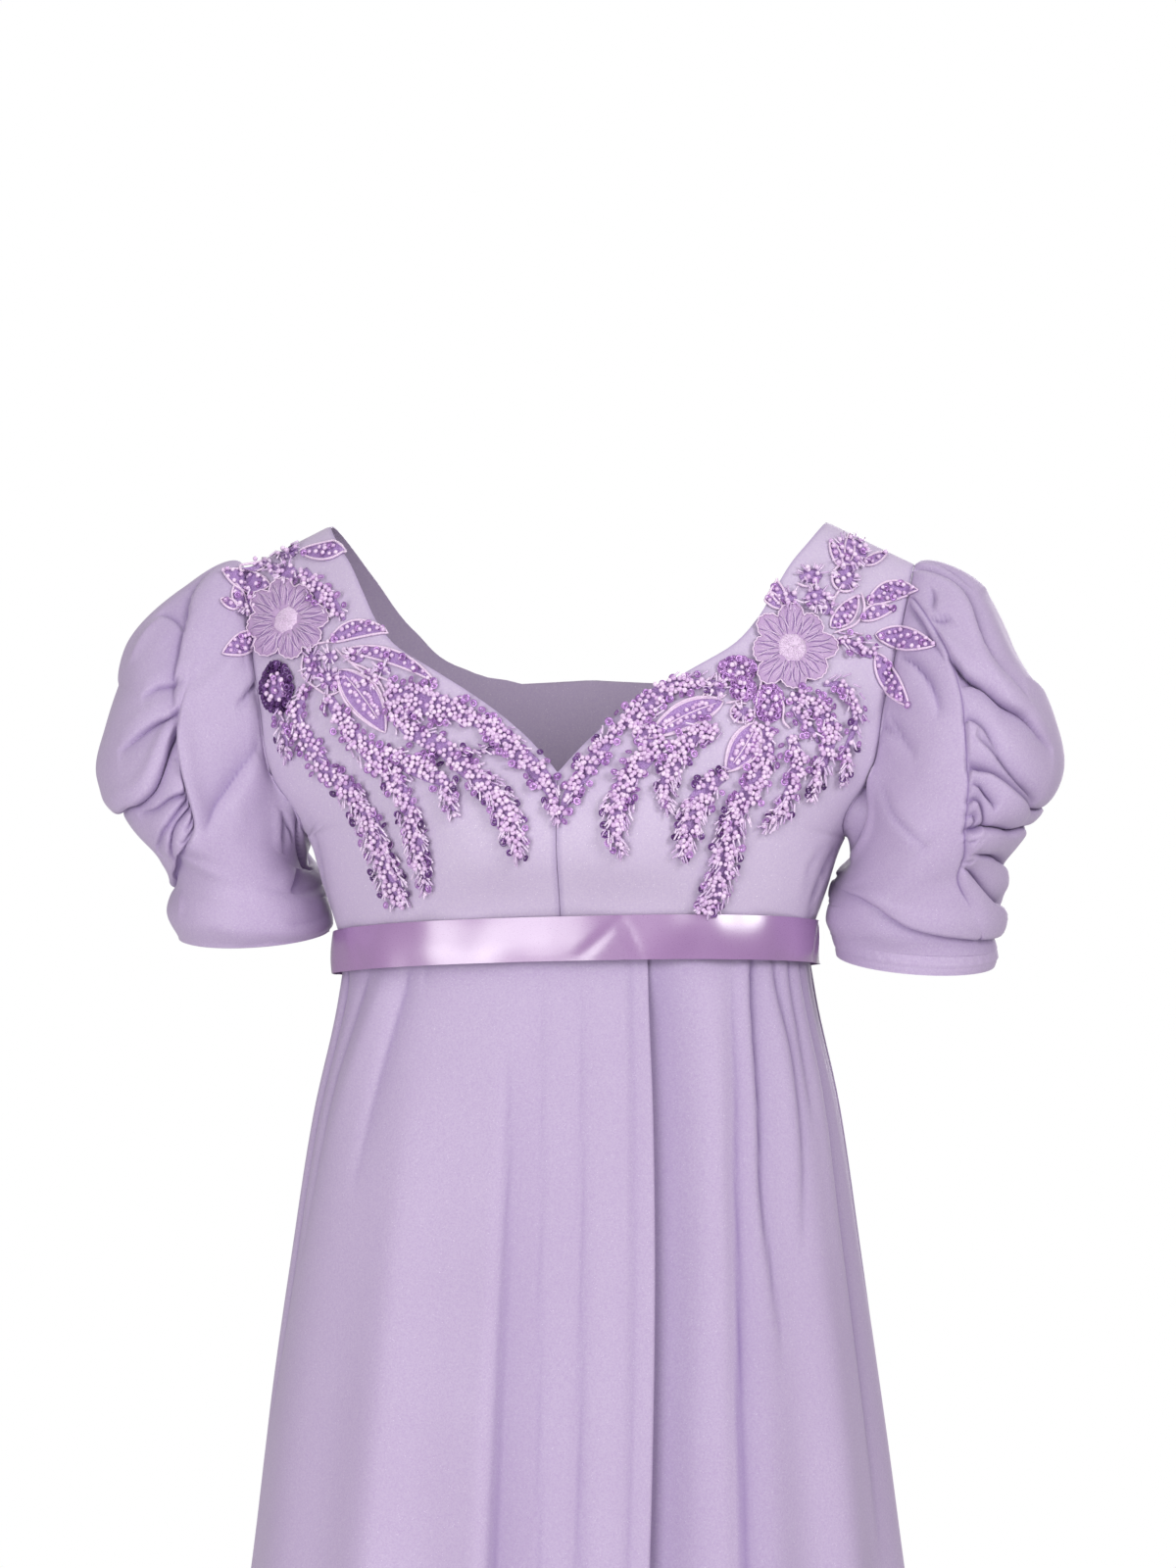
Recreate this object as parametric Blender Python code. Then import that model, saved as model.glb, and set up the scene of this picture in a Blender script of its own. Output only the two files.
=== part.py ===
"""A regency gown: an empire-line dress with puffed sleeves, standing open and hollow as it does when worn.

Metres, +Z up. The front faces -Y and the wearer's left is +X. The origin is on the middle of the
shoulder line, from which a wearer holds the gown up.

Every piece of cloth is a wall of even thickness. Its outer face is a smooth form worked out from the
tables below, and its inner face is the same form moved in along the form's normals.
"""

import math
from collections import Counter, namedtuple

import bmesh
import bpy
import numpy as np
from mathutils import Vector, geometry
from mathutils.bvhtree import BVHTree

# ---- Driving dimensions -------------------------------------------------------------------------

SEAM_GAP = 0.0003  # between the pieces that a seam joins
BODICE_WALL = 0.0020
SLEEVE_WALL = 0.0015
SKIRT_WALL = 0.0015
RIBBON_WALL = 0.0010
LACE_WALL = 0.0012
RIBBON_LIFT = 0.0020  # between the ribbon and the cloth under it
LACE_LIFT = 0.0020  # between the lace and the cloth under it
OVERHANG_LIFT = 0.0050  # how much further forward the lace is where it reaches past an edge

WAIST_Z = -0.226  # the empire seam at centre front
WAIST_DIP = 0.010  # how much lower the seam is at the sides, and twice this at the back
WAIST_TILT = 0.004  # how much the seam rises at the left side, and falls at the right
HEM_Z = -1.400
RIBBON_HEIGHT = 0.025
RIDGE_AT_CENTRE = 0.080  # where the two shoulder lines would meet, above the origin
RIDGE_SLOPE = 0.495  # the shoulder line's fall for each metre out from the centre
RIDGE_SOFTNESS = 0.020  # how far out from the centre the line is level
RIDGE_ROUNDNESS = 6.0  # higher makes the shoulder's crest narrower
SHOULDER_SETBACK = 0.008  # how far behind the origin the shoulder line runs

UNDERARM_T = 0.257  # the armhole's lowest point, as a share of the way from waist to shoulder
BUST_X, BUST_Z, BUST_RISE = 0.040, -0.166, 0.017
BUST_SPREAD_X, BUST_SPREAD_Z = 0.048, 0.040

# Sections of the bodice, from the waist (t = 0) to the shoulder line (t = 1).
Torso = namedtuple("Torso", "t half_width front back fullness")
TORSO = (
    Torso(0.000, 0.137, 0.090, 0.084, 0.20),
    Torso(0.130, 0.148, 0.096, 0.088, 0.22),
    Torso(0.257, 0.159, 0.098, 0.092, 0.25),
    Torso(0.400, 0.185, 0.096, 0.094, 0.25),
    Torso(0.600, 0.200, 0.084, 0.090, 0.25),
    Torso(0.800, 0.208, 0.068, 0.078, 0.25),
    Torso(1.000, 0.212, 0.055, 0.060, 0.25),
)

# Where the neckline and the armhole cross each level of the bodice.
NeckPoint = namedtuple("NeckPoint", "t x")
FRONT_NECK = (
    NeckPoint(0.307, 0.000),
    NeckPoint(0.372, 0.017),
    NeckPoint(0.425, 0.033),
    NeckPoint(0.489, 0.054),
    NeckPoint(0.549, 0.074),
    NeckPoint(0.625, 0.097),
    NeckPoint(0.691, 0.109),
    NeckPoint(0.773, 0.119),
    NeckPoint(0.859, 0.129),
    NeckPoint(0.923, 0.138),
    NeckPoint(1.000, 0.148),
)
BACK_NECK = (
    NeckPoint(0.510, 0.000),
    NeckPoint(0.516, 0.024),
    NeckPoint(0.540, 0.052),
    NeckPoint(0.590, 0.080),
    NeckPoint(0.700, 0.108),
    NeckPoint(0.850, 0.130),
    NeckPoint(1.000, 0.148),
)
ArmholePoint = namedtuple("ArmholePoint", "t angle")
ARMHOLE = (
    ArmholePoint(0.257, 90.0),
    ArmholePoint(0.262, 83.0),
    ArmholePoint(0.280, 75.0),
    ArmholePoint(0.320, 69.0),
    ArmholePoint(0.400, 66.5),
    ArmholePoint(0.600, 62.0),
    ArmholePoint(0.800, 63.5),
    ArmholePoint(1.000, 67.0),
)

# Sections of a sleeve, from the armhole (w = 0) to the top of its band (w = 1). Each is a ring whose
# outer and inner ends lie in the front view at those distances out from the centre and heights.
Ring = namedtuple("Ring", "w outer_x outer_z inner_x inner_z front back middle_y seam")
LEFT_SLEEVE = (
    Ring(0.00, 0.196, -0.006, 0.158, -0.166, 0.048, 0.050, 0.002, 43.3),
    Ring(0.10, 0.215, -0.001, 0.163, -0.176, 0.060, 0.060, 0.001, 45),
    Ring(0.22, 0.243, -0.017, 0.164, -0.184, 0.068, 0.070, 0.000, 58),
    Ring(0.36, 0.264, -0.056, 0.162, -0.190, 0.075, 0.077, -0.002, 71),
    Ring(0.50, 0.284, -0.098, 0.160, -0.196, 0.079, 0.080, -0.004, 81),
    Ring(0.61, 0.290, -0.130, 0.158, -0.200, 0.076, 0.076, -0.005, 85),
    Ring(0.71, 0.281, -0.158, 0.156, -0.204, 0.070, 0.070, -0.006, 78),
    Ring(0.79, 0.264, -0.178, 0.155, -0.207, 0.065, 0.064, -0.006, 71),
    Ring(0.88, 0.257, -0.200, 0.153, -0.210, 0.061, 0.058, -0.006, 59),
    Ring(0.95, 0.253, -0.224, 0.153, -0.213, 0.057, 0.053, -0.006, 42),
    Ring(1.00, 0.248, -0.236, 0.156, -0.216, 0.050, 0.048, -0.006, 30),
)
RIGHT_SLEEVE = (
    Ring(0.00, 0.196, -0.006, 0.158, -0.166, 0.048, 0.050, 0.002, 43.3),
    Ring(0.10, 0.213, -0.008, 0.163, -0.176, 0.060, 0.060, 0.001, 45),
    Ring(0.22, 0.240, -0.031, 0.164, -0.184, 0.068, 0.070, 0.000, 56),
    Ring(0.36, 0.263, -0.062, 0.162, -0.189, 0.075, 0.077, -0.002, 80),
    Ring(0.50, 0.281, -0.102, 0.159, -0.194, 0.079, 0.080, -0.004, 98),
    Ring(0.61, 0.286, -0.131, 0.157, -0.198, 0.076, 0.076, -0.005, 95),
    Ring(0.71, 0.272, -0.156, 0.155, -0.202, 0.070, 0.070, -0.006, 80),
    Ring(0.79, 0.252, -0.176, 0.153, -0.206, 0.064, 0.064, -0.006, 55),
    Ring(0.87, 0.2440, -0.192, 0.151, -0.211, 0.063, 0.058, -0.006, 29),
    Ring(0.94, 0.2475, -0.213, 0.150, -0.216, 0.062, 0.054, -0.006, 16),
    Ring(1.00, 0.2380, -0.229, 0.153, -0.218, 0.052, 0.048, -0.006, 15),
)
SLEEVE_BLEND = 0.35  # by this w a sleeve has left the armhole's own curve
FRONT_SAG = 0.006  # how much lower a sleeve's lower edge hangs in front

# A sleeve's band, by its two edges. The right one is turned up inside the puff, which hangs over it.
BandEdge = namedtuple("BandEdge", "outer_x outer_z inner_x inner_z front back middle_y")
LEFT_BAND = (
    BandEdge(0.248, -0.2378, 0.156, -0.2180, 0.050, 0.048, -0.006),
    BandEdge(0.247, -0.2470, 0.154, -0.2350, 0.050, 0.048, -0.006),
)
RIGHT_BAND = (
    BandEdge(0.2350, -0.2262, 0.1560, -0.2152, 0.0492, 0.0452, -0.006),
    BandEdge(0.2335, -0.2110, 0.1575, -0.2010, 0.0470, 0.0430, -0.006),
)

# Sections of the skirt, at their depths below the origin.
Skirt = namedtuple("Skirt", "below half_width front back fullness")
SKIRT = (
    Skirt(0.226, 0.1370, 0.090, 0.084, 0.20),
    Skirt(0.250, 0.1380, 0.093, 0.086, 0.20),
    Skirt(0.320, 0.152, 0.102, 0.098, 0.20),
    Skirt(0.410, 0.165, 0.113, 0.114, 0.20),
    Skirt(0.510, 0.178, 0.124, 0.130, 0.18),
    Skirt(0.610, 0.190, 0.136, 0.143, 0.16),
    Skirt(0.800, 0.217, 0.158, 0.166, 0.14),
    Skirt(1.000, 0.245, 0.180, 0.190, 0.12),
    Skirt(1.200, 0.272, 0.202, 0.212, 0.10),
    Skirt(1.430, 0.300, 0.226, 0.236, 0.08),
)

# Folds of the skirt. A fold's middle lies at one share of the way round at the waist and at another
# at the hem: 0 is centre front, 0.25 the wearer's left side, 0.5 centre back and -0.25 the right side.
Fold = namedtuple("Fold", "at_waist at_hem width depth grown_by")
SKIRT_FOLDS = (
    Fold(-0.235, -0.240, 0.026, 0.020, 0.70),
    Fold(-0.165, -0.172, 0.024, 0.016, 0.60),
    Fold(-0.100, -0.118, 0.022, 0.020, 0.45),
    Fold(-0.036, -0.040, 0.024, 0.016, 0.50),
    Fold(0.010, 0.012, 0.020, 0.009, 0.80),
    Fold(0.118, 0.104, 0.020, 0.022, 0.40),
    Fold(0.165, 0.163, 0.018, 0.018, 0.35),
    Fold(0.222, 0.226, 0.024, 0.024, 0.60),
    Fold(0.290, 0.288, 0.026, 0.020, 0.70),
    Fold(0.352, 0.350, 0.022, 0.022, 0.50),
    Fold(0.412, 0.415, 0.022, 0.018, 0.60),
    Fold(0.468, 0.470, 0.020, 0.022, 0.45),
    Fold(-0.475, -0.472, 0.020, 0.020, 0.50),
    Fold(-0.420, -0.418, 0.022, 0.022, 0.60),
    Fold(-0.358, -0.352, 0.024, 0.018, 0.50),
    Fold(-0.295, -0.292, 0.024, 0.022, 0.65),
)
# The knife pleat drops from its edge, on the wearer's right, into a trough beside it.
PLEAT_AT_WAIST, PLEAT_AT_HEM = 0.0625, 0.028
PLEAT_STEP, PLEAT_TROUGH = 0.0075, 0.011
PLEAT_EDGE, PLEAT_REACH = 0.0022, 0.020  # as shares of the way round

# The largest troughs of each puff, each a line from one place on it to another.
Trough = namedtuple("Trough", "w_from angle_from w_to angle_to width depth")
LEFT_TROUGHS = (
    Trough(0.10, 22, 0.48, 38, 0.009, 0.006),
    Trough(0.34, 56, 0.60, 22, 0.009, 0.007),
    Trough(0.62, 66, 0.76, 14, 0.010, 0.010),
    Trough(0.80, 58, 0.84, 6, 0.008, 0.007),
    Trough(0.62, -62, 0.74, -12, 0.010, 0.009),
    Trough(0.30, -52, 0.58, -20, 0.009, 0.006),
)
RIGHT_TROUGHS = (
    Trough(0.46, 62, 0.62, 24, 0.009, 0.006),
    Trough(0.64, 66, 0.80, 10, 0.010, 0.010),
    Trough(0.86, 52, 0.90, 6, 0.008, 0.007),
    Trough(0.12, 18, 0.44, 30, 0.009, 0.005),
    Trough(0.60, -60, 0.76, -14, 0.010, 0.009),
    Trough(0.28, -50, 0.56, -22, 0.009, 0.006),
)

CREPE = (0.539, 0.434, 0.645, 1.0)
SATIN = (0.520, 0.330, 0.600, 1.0)
LACE = (0.480, 0.330, 0.540, 1.0)

# The lace lies on the bodice and sleeves. Its places are in millimetres in the front view, x and z.
MM = 0.001
Disc = namedtuple("Disc", "x z radius")
Leaf = namedtuple("Leaf", "from_x from_z to_x to_z width")
Strand = namedtuple("Strand", "width_from width_to route")
RIGHT_DISCS = (
    Disc(-165, -45, 24),  # the flower
    Disc(-172, -13, 11),
    Disc(-160, -11, 9),
    Disc(-181, -17, 8),
    Disc(-147, -70, 9),
    Disc(-136, -68, 9),
    Disc(-136, -80, 8),
)
RIGHT_LEAVES = (
    Leaf(-170, -31, -198, -22, 11),
    Leaf(-180, -36, -210, -31, 8),
    Leaf(-176, -46, -205, -64, 13),
    Leaf(-163, -7, -122, 0, 9),
    Leaf(-148, -55, -101, -53, 11),
    Leaf(-168, -64, -168, -98, 19),
    Leaf(-167, -94, -160, -126, 9),
    Leaf(-131, -70, -100, -113, 20),
    Leaf(-120, -60, -69, -83, 11),
)
RIGHT_STRANDS = (
    Strand(12, 12, ((-160, -12), (-144, -25), (-136, -34), (-127, -48), (-128, -58))),
    Strand(
        12,
        12,
        ((-149, -76), (-151, -102), (-146, -119), (-122, -145), (-103, -170), (-98, -190), (-90, -207)),
    ),
    Strand(13, 8, ((-139, -84), (-131, -103), (-106, -128), (-94, -140), (-87, -153), (-75, -199))),
    Strand(12, 6, ((-108, -119), (-92, -124), (-79, -130), (-68, -139), (-56, -158))),
    Strand(13, 9, ((-102, -98), (-84, -110), (-59, -122), (-39, -142), (-32, -157), (-20, -181))),
    Strand(
        20,
        10,
        ((-104, -84), (-89, -91), (-60, -97), (-36, -108), (-16, -129), (-6.5, -142), (-6, -158)),
    ),
)
LEFT_DISCS = (
    Disc(129, -62, 24),  # the flower
    Disc(157, -9, 9),
    Disc(168, -7, 8),
    Disc(159, -22, 9),
    Disc(141, -34, 11),
    Disc(151, -27, 8),
    Disc(119, -37, 8),
    Disc(100, -77, 10),
    Disc(94, -88, 9),
)
LEFT_LEAVES = (
    Leaf(126, -24, 152, -12, 11),
    Leaf(121, -42, 118, -20, 9),
    Leaf(146, -54, 169, -31, 15),
    Leaf(164, -38, 202, -27, 13),
    Leaf(158, -46, 188, -38, 10),
    Leaf(164, -56, 211, -60, 13),
    Leaf(172, -60, 196, -96, 12),
    Leaf(115, -80, 116, -108, 16),
    Leaf(98, -86, 50, -111, 16),
    Leaf(115, -100, 90, -133, 18),
)
LEFT_STRANDS = (
    Strand(10, 16, ((6, -158), (6.5, -142), (16, -129), (36, -109), (61, -92), (94, -84))),
    Strand(15, 13, ((146, -52), (158, -59), (175, -66))),
    Strand(10, 10, ((122, -82), (134, -91), (147, -85), (163, -85))),
    Strand(13, 9, ((66, -106), (54, -119), (40, -136), (34, -160), (37, -178))),
    Strand(12, 6, ((92, -96), (86, -109), (74, -115), (62, -134), (61, -144), (64, -156))),
    Strand(12, 8, ((100, -121), (91, -133), (73, -156), (69, -172), (69, -182))),
    Strand(14, 12, ((117, -102), (114, -123), (105, -151), (95, -165), (91, -183), (82, -205))),
    Strand(11, 6, ((128, -88), (131, -110), (134, -126), (131, -141), (113, -163))),
    Strand(10, 5, ((146, -86), (152, -108), (148, -123), (136, -154))),
    Strand(8, 5, ((159, -84), (164, -101), (163, -116), (158, -139))),
)

Side = namedtuple("Side", "name sign sleeve band troughs motifs")
LEFT_MOTIFS = (LEFT_DISCS, LEFT_LEAVES, LEFT_STRANDS)
RIGHT_MOTIFS = (RIGHT_DISCS, RIGHT_LEAVES, RIGHT_STRANDS)
SIDES = (
    Side("left", 1, LEFT_SLEEVE, LEFT_BAND, LEFT_TROUGHS, LEFT_MOTIFS),
    Side("right", -1, RIGHT_SLEEVE, RIGHT_BAND, RIGHT_TROUGHS, RIGHT_MOTIFS),
)

# How finely the walls are divided.
ARMHOLE_LEVELS = (0.257, 0.272, 0.307, 0.38, 0.47, 0.58, 0.69, 0.80, 0.90, 0.94, 0.97, 0.985)
ARMHOLE_LEVELS += (0.995, 0.9987, 1.0)
FRONT_LEVELS = (0, 0.042, 0.10, 0.17) + ARMHOLE_LEVELS
BACK_LEVELS = (0, 0.042, 0.12) + ARMHOLE_LEVELS
BODICE_COLUMNS = 9
SEAM_LEVEL = 0.90  # the level at which the puff's seams start from the armhole
SLEEVE_LEVELS = (0, 0.06, 0.15, 0.27, 0.40, 0.53, 0.65, 0.77, 0.89, 1.0)
SKIRT_LEVELS = (0, 0.015, 0.05, 0.12, 0.21, 0.33, 0.47, 0.63, 0.80, 1.0)
SkirtPanel = namedtuple("SkirtPanel", "name start end columns")  # from one share of the girth to another
SKIRT_PANELS = (
    SkirtPanel("skirt_front", -0.25, 0.25, 21),
    SkirtPanel("skirt_back_left", 0.25, 0.50, 11),
    SkirtPanel("skirt_back_right", 0.50, 0.75, 11),
)
RIBBON_COLUMNS = 46
FINE_STEPS = 400  # points used to measure along a curve
LEAF_STEPS, DISC_STEPS = 5, 12
LACE_STEP = 12.0  # millimetres between the lace's inner points
LACE_SIGHT_Y, LACE_NEAR_Y = -0.30, -0.05  # where the lace is dropped from, and about where it lies

ARMHOLE_GAP = 0.0005  # from the armhole's edge out to the sleeve
EVEN_BY = 0.40  # by this w a sleeve's points are evenly spread
SLEEVE_SEAM_GAP = 0.0008  # trimmed from each edge of a panel, at the sleeve's mean radius
ARMHOLE_TURN = 0.12  # by this w a sleeve's wall has turned square to its own face
SLEEVE_LENGTH, SLEEVE_RADIUS = 0.20, 0.080  # scales that measure places on a sleeve in metres
WAIST_GIRTH = 0.74
PLEAT_COLUMNS = (-0.0011, 0.0011, 0.0035, 0.011)  # the skirt's points beside the pleat's edge, as shares
PLEAT_CLEAR = 0.009  # how near that edge no evenly spaced point lies
PLEAT_PULL = 0.03  # how far away, as a share, the skirt's points lean with the pleat
TURN_STEP, LEVEL_STEP = 1e-4, 1e-5  # steps over which a surface's slope is measured
SHARP_ANGLE = math.radians(50)
FRONT_FACING = 0.1  # a face whose normal's y is less than this carries the lace

# ---- Smooth forms -------------------------------------------------------------------------------


def curve(rows, name, at):
    """A smooth curve through one column of a table, read at places given in its first column."""
    xs = np.array([row[0] for row in rows], float)
    ys = np.array([getattr(row, name) for row in rows], float)
    slopes = np.gradient(ys, xs)
    at = np.clip(at, xs[0], xs[-1])
    i = np.clip(np.searchsorted(xs, at) - 1, 0, len(xs) - 2)
    step = xs[i + 1] - xs[i]
    u = (at - xs[i]) / step
    start = (1 + 2 * u) * (1 - u) ** 2 * ys[i] + u * (1 - u) ** 2 * step * slopes[i]
    end = u**2 * (3 - 2 * u) * ys[i + 1] - u**2 * (1 - u) * step * slopes[i + 1]
    return start + end


def smoothstep(x):
    x = np.clip(x, 0.0, 1.0)
    return x * x * (3 - 2 * x)


def unit(vectors):
    return vectors / np.maximum(np.linalg.norm(vectors, axis=-1, keepdims=True), 1e-12)


def rounded_section(angle, half_width, front, back, fullness):
    """x and y on a section round the body. The angle is 0 at centre front and +90 degrees at the left."""
    sine, cosine = np.sin(angle), np.cos(angle)
    power = 1 - fullness
    depth = np.where(cosine >= 0, front, back)
    x = half_width * np.sign(sine) * np.abs(sine) ** power
    y = -depth * np.sign(cosine) * np.abs(cosine) ** power
    return x, y


def waist_z(angle, x):
    """The height of the empire seam, which dips towards the back and leans to the right."""
    return WAIST_Z - WAIST_DIP * (1 - np.cos(angle)) + WAIST_TILT * x / TORSO[0].half_width


def bodice_surface(angle, t):
    """Points of the bodice's outer face, from the waist (t = 0) to the shoulder line (t = 1)."""
    x, y = rounded_section(
        angle,
        curve(TORSO, "half_width", t),
        curve(TORSO, "front", t),
        curve(TORSO, "back", t),
        curve(TORSO, "fullness", t),
    )
    y = y * np.sqrt(np.clip(1 - t**RIDGE_ROUNDNESS, 0, 1)) + SHOULDER_SETBACK * t**2
    top = RIDGE_AT_CENTRE - RIDGE_SLOPE * (np.sqrt(x**2 + RIDGE_SOFTNESS**2) - RIDGE_SOFTNESS)
    level = WAIST_Z - WAIST_DIP * (1 - np.cos(angle)) * (1 - t)
    level = level + WAIST_TILT * x / TORSO[0].half_width * np.clip(1 - t / UNDERARM_T, 0, 1) ** 2
    z = level + t * (top - level)
    rise = sum(np.exp(-(((x - side * BUST_X) / BUST_SPREAD_X) ** 2)) for side in (1, -1))
    rise = BUST_RISE * rise * np.exp(-(((z - BUST_Z) / BUST_SPREAD_Z) ** 2)) * smoothstep(t / 0.15)
    y = y - rise * np.clip(np.cos(angle), 0, 1) ** 0.5
    return np.stack([x, y, z], axis=-1)


def skirt_folds(share, down):
    """How far the folds move the skirt out (+) or in, at a share of the way round and of the way down."""
    moved = np.zeros_like(share)
    for fold in SKIRT_FOLDS:
        middle = fold.at_waist + (fold.at_hem - fold.at_waist) * down
        away = (share - middle + 0.5) % 1.0 - 0.5
        grown = smoothstep(down / fold.grown_by) * (0.35 + 0.65 * down)
        moved = moved + fold.depth * grown * np.exp(-((away / fold.width) ** 2))
    edge = PLEAT_AT_WAIST + (PLEAT_AT_HEM - PLEAT_AT_WAIST) * down
    away = share - edge
    dropped = smoothstep(away / PLEAT_EDGE + 0.5) * smoothstep(1 - (away - PLEAT_EDGE) / PLEAT_REACH)
    return moved - dropped * (PLEAT_STEP + PLEAT_TROUGH * down) * smoothstep((down - 0.012) / 0.03)


def share_table():
    """Angles round the waist's section at even shares of the way round, from 0 to 1."""
    angles = np.linspace(-math.pi, math.pi, 1441)
    waist = SKIRT[4]
    x, y = rounded_section(angles, waist.half_width, waist.front, waist.back, waist.fullness)
    lengths = np.concatenate([[0], np.cumsum(np.hypot(np.diff(x), np.diff(y)))])
    return lengths / lengths[-1] - 0.5, angles


SHARES, SHARE_ANGLES = share_table()


def skirt_surface(share, down):
    """Points of the skirt's outer face, from the waist (down = 0) to the hem (down = 1)."""
    angle = np.interp((share + 0.5) % 1.0 - 0.5, SHARES, SHARE_ANGLES)
    depth = -(WAIST_Z + down * (HEM_Z - WAIST_Z))
    sizes = [curve(SKIRT, name, depth) for name in ("half_width", "front", "back", "fullness")]
    x, y = rounded_section(angle, *sizes)
    ahead_x, ahead_y = rounded_section(angle + TURN_STEP, *sizes)
    behind_x, behind_y = rounded_section(angle - TURN_STEP, *sizes)
    along = unit(np.stack([ahead_x - behind_x, ahead_y - behind_y], axis=-1))
    moved = skirt_folds(share, down)
    top = waist_z(angle, x)
    z = top + down * (HEM_Z - top)
    return np.stack([x + moved * along[..., 1], y - moved * along[..., 0], z], axis=-1)


def armhole_angle(height):
    """The armhole's angle on the bodice at a share of the way from its lowest point to the shoulder."""
    ups = [math.sqrt((row.t - UNDERARM_T) / (1 - UNDERARM_T)) for row in ARMHOLE]
    rows = [ArmholePoint(up, row.angle) for up, row in zip(ups, ARMHOLE)]
    return np.radians(curve(rows, "angle", np.sqrt(np.clip(height, 0, 1))))


def armhole_place(around):
    """The angle and t of the left armhole's points. The angle round it is 0 at the shoulder."""
    height = (1 + np.cos(around)) / 2
    angle = armhole_angle(height)
    angle = np.where(np.sin(around) >= 0, angle, math.pi - angle)
    return angle, UNDERARM_T + (1 - UNDERARM_T) * height


def ring_points(size, around):
    """Points on a ring. Its angle is 0 at the outer end, 90 degrees in front and 180 at the inner end."""
    cosine, sine = np.cos(around), np.sin(around)
    x = (size["outer_x"] + size["inner_x"]) / 2 + (size["outer_x"] - size["inner_x"]) / 2 * cosine
    z = (size["outer_z"] + size["inner_z"]) / 2 + (size["outer_z"] - size["inner_z"]) / 2 * cosine
    y = size["middle_y"] - np.where(sine >= 0, size["front"], size["back"]) * sine
    return np.stack([x, y, z - FRONT_SAG * np.clip(sine, 0, 1)], axis=-1)


def sleeve_surface(side, around, w):
    """Points of a sleeve's outer face as on the wearer's left, from the armhole (w = 0) to the band."""
    size = {name: curve(side.sleeve, name, w) for name in Ring._fields[1:]}
    ring = ring_points(size, around)
    place = armhole_place(around)
    ahead = bodice_surface(*armhole_place(around + TURN_STEP))
    along = unit(ahead - bodice_surface(*armhole_place(around - TURN_STEP)))
    away = unit(np.cross(normals_of(bodice_surface, *place), along))
    armhole = bodice_surface(*place) + away * ARMHOLE_GAP
    share = smoothstep(w / SLEEVE_BLEND)[..., None]
    inward = np.zeros_like(w)
    for trough in side.troughs:
        ends = np.array([[trough.w_from, trough.angle_from], [trough.w_to, trough.angle_to]])
        ends = ends * [SLEEVE_LENGTH, math.radians(1) * SLEEVE_RADIUS]
        here = np.stack([w * SLEEVE_LENGTH, around * SLEEVE_RADIUS], axis=-1)
        along = ends[1] - ends[0]
        part = np.clip(((here - ends[0]) @ along) / (along @ along), 0, 1)
        away = np.linalg.norm(here - ends[0] - part[..., None] * along, axis=-1)
        inward = inward + trough.depth * np.exp(-((away / trough.width) ** 2))
    middle = (ring_points(size, np.zeros_like(w)) + ring_points(size, np.full_like(w, math.pi))) / 2
    ring = ring + unit(middle - ring) * inward[..., None]
    return armhole * (1 - share) + ring * share


def normals_of(surface, u, v):
    """Unit normals of a surface of two parameters, pointing out of the gown."""
    across = surface(u + TURN_STEP, v) - surface(u - TURN_STEP, v)
    up = surface(u, v) - surface(u, v - LEVEL_STEP)
    return unit(np.cross(unit(across), unit(up)))


# ---- Solids -------------------------------------------------------------------------------------


def new_material(name, colour, roughness):
    material = bpy.data.materials.new(name)
    material.use_nodes = True
    shader = material.node_tree.nodes["Principled BSDF"]
    shader.inputs["Base Color"].default_value = colour
    shader.inputs["Roughness"].default_value = roughness
    return material


def new_object(name, points, faces, colour, roughness):
    """A smooth-shaded object with a material of its own, its faces turned to point out."""
    mesh = bpy.data.meshes.new(name)
    mesh.from_pydata([tuple(point) for point in points], [], [tuple(face) for face in faces])
    cloth = bmesh.new()
    cloth.from_mesh(mesh)
    if cloth.calc_volume(signed=True) < 0:
        bmesh.ops.reverse_faces(cloth, faces=cloth.faces)
    cloth.to_mesh(mesh)
    cloth.free()
    mesh.shade_smooth()
    mesh.set_sharp_from_angle(angle=SHARP_ANGLE)
    mesh.materials.append(new_material(name, colour, roughness))
    made = bpy.data.objects.new(name, mesh)
    bpy.context.collection.objects.link(made)
    return made


def wall(name, outer, normals, thickness, colour, roughness=0.8, closed=False):
    """A wall of cloth between a grid of points, rows by columns, and the same grid moved in."""
    rows, columns = outer.shape[:2]
    points = np.concatenate([outer.reshape(-1, 3), (outer - normals * thickness).reshape(-1, 3)])
    inner = rows * columns
    faces = []
    spans = columns if closed else columns - 1
    for row in range(rows - 1):
        for column in range(spans):
            beside = (column + 1) % columns
            a, b = row * columns + column, row * columns + beside
            c, d = b + columns, a + columns
            faces.append((a, b, c, d))
            faces.append((inner + d, inner + c, inner + b, inner + a))
    last = (rows - 1) * columns
    for column in range(spans):
        beside = (column + 1) % columns
        faces.append((beside, column, inner + column, inner + beside))
        faces.append((last + column, last + beside, inner + last + beside, inner + last + column))
    if not closed:
        for row in range(rows - 1):
            for edge, turn in ((0, 1), (columns - 1, -1)):
                a = row * columns + edge
                rim = (a, a + columns, inner + a + columns, inner + a)
                faces.append(rim[::turn])
    return new_object(name, points, faces, colour, roughness)


def evenly(start, end, count, length_of):
    """Values from start to end whose points are evenly spaced, where length_of gives fine points."""
    fine = np.linspace(start, end, FINE_STEPS)
    steps = np.linalg.norm(np.diff(length_of(fine), axis=0), axis=-1)
    lengths = np.concatenate([[0], np.cumsum(steps)])
    return np.interp(np.linspace(0, lengths[-1], count), lengths, fine)


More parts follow.
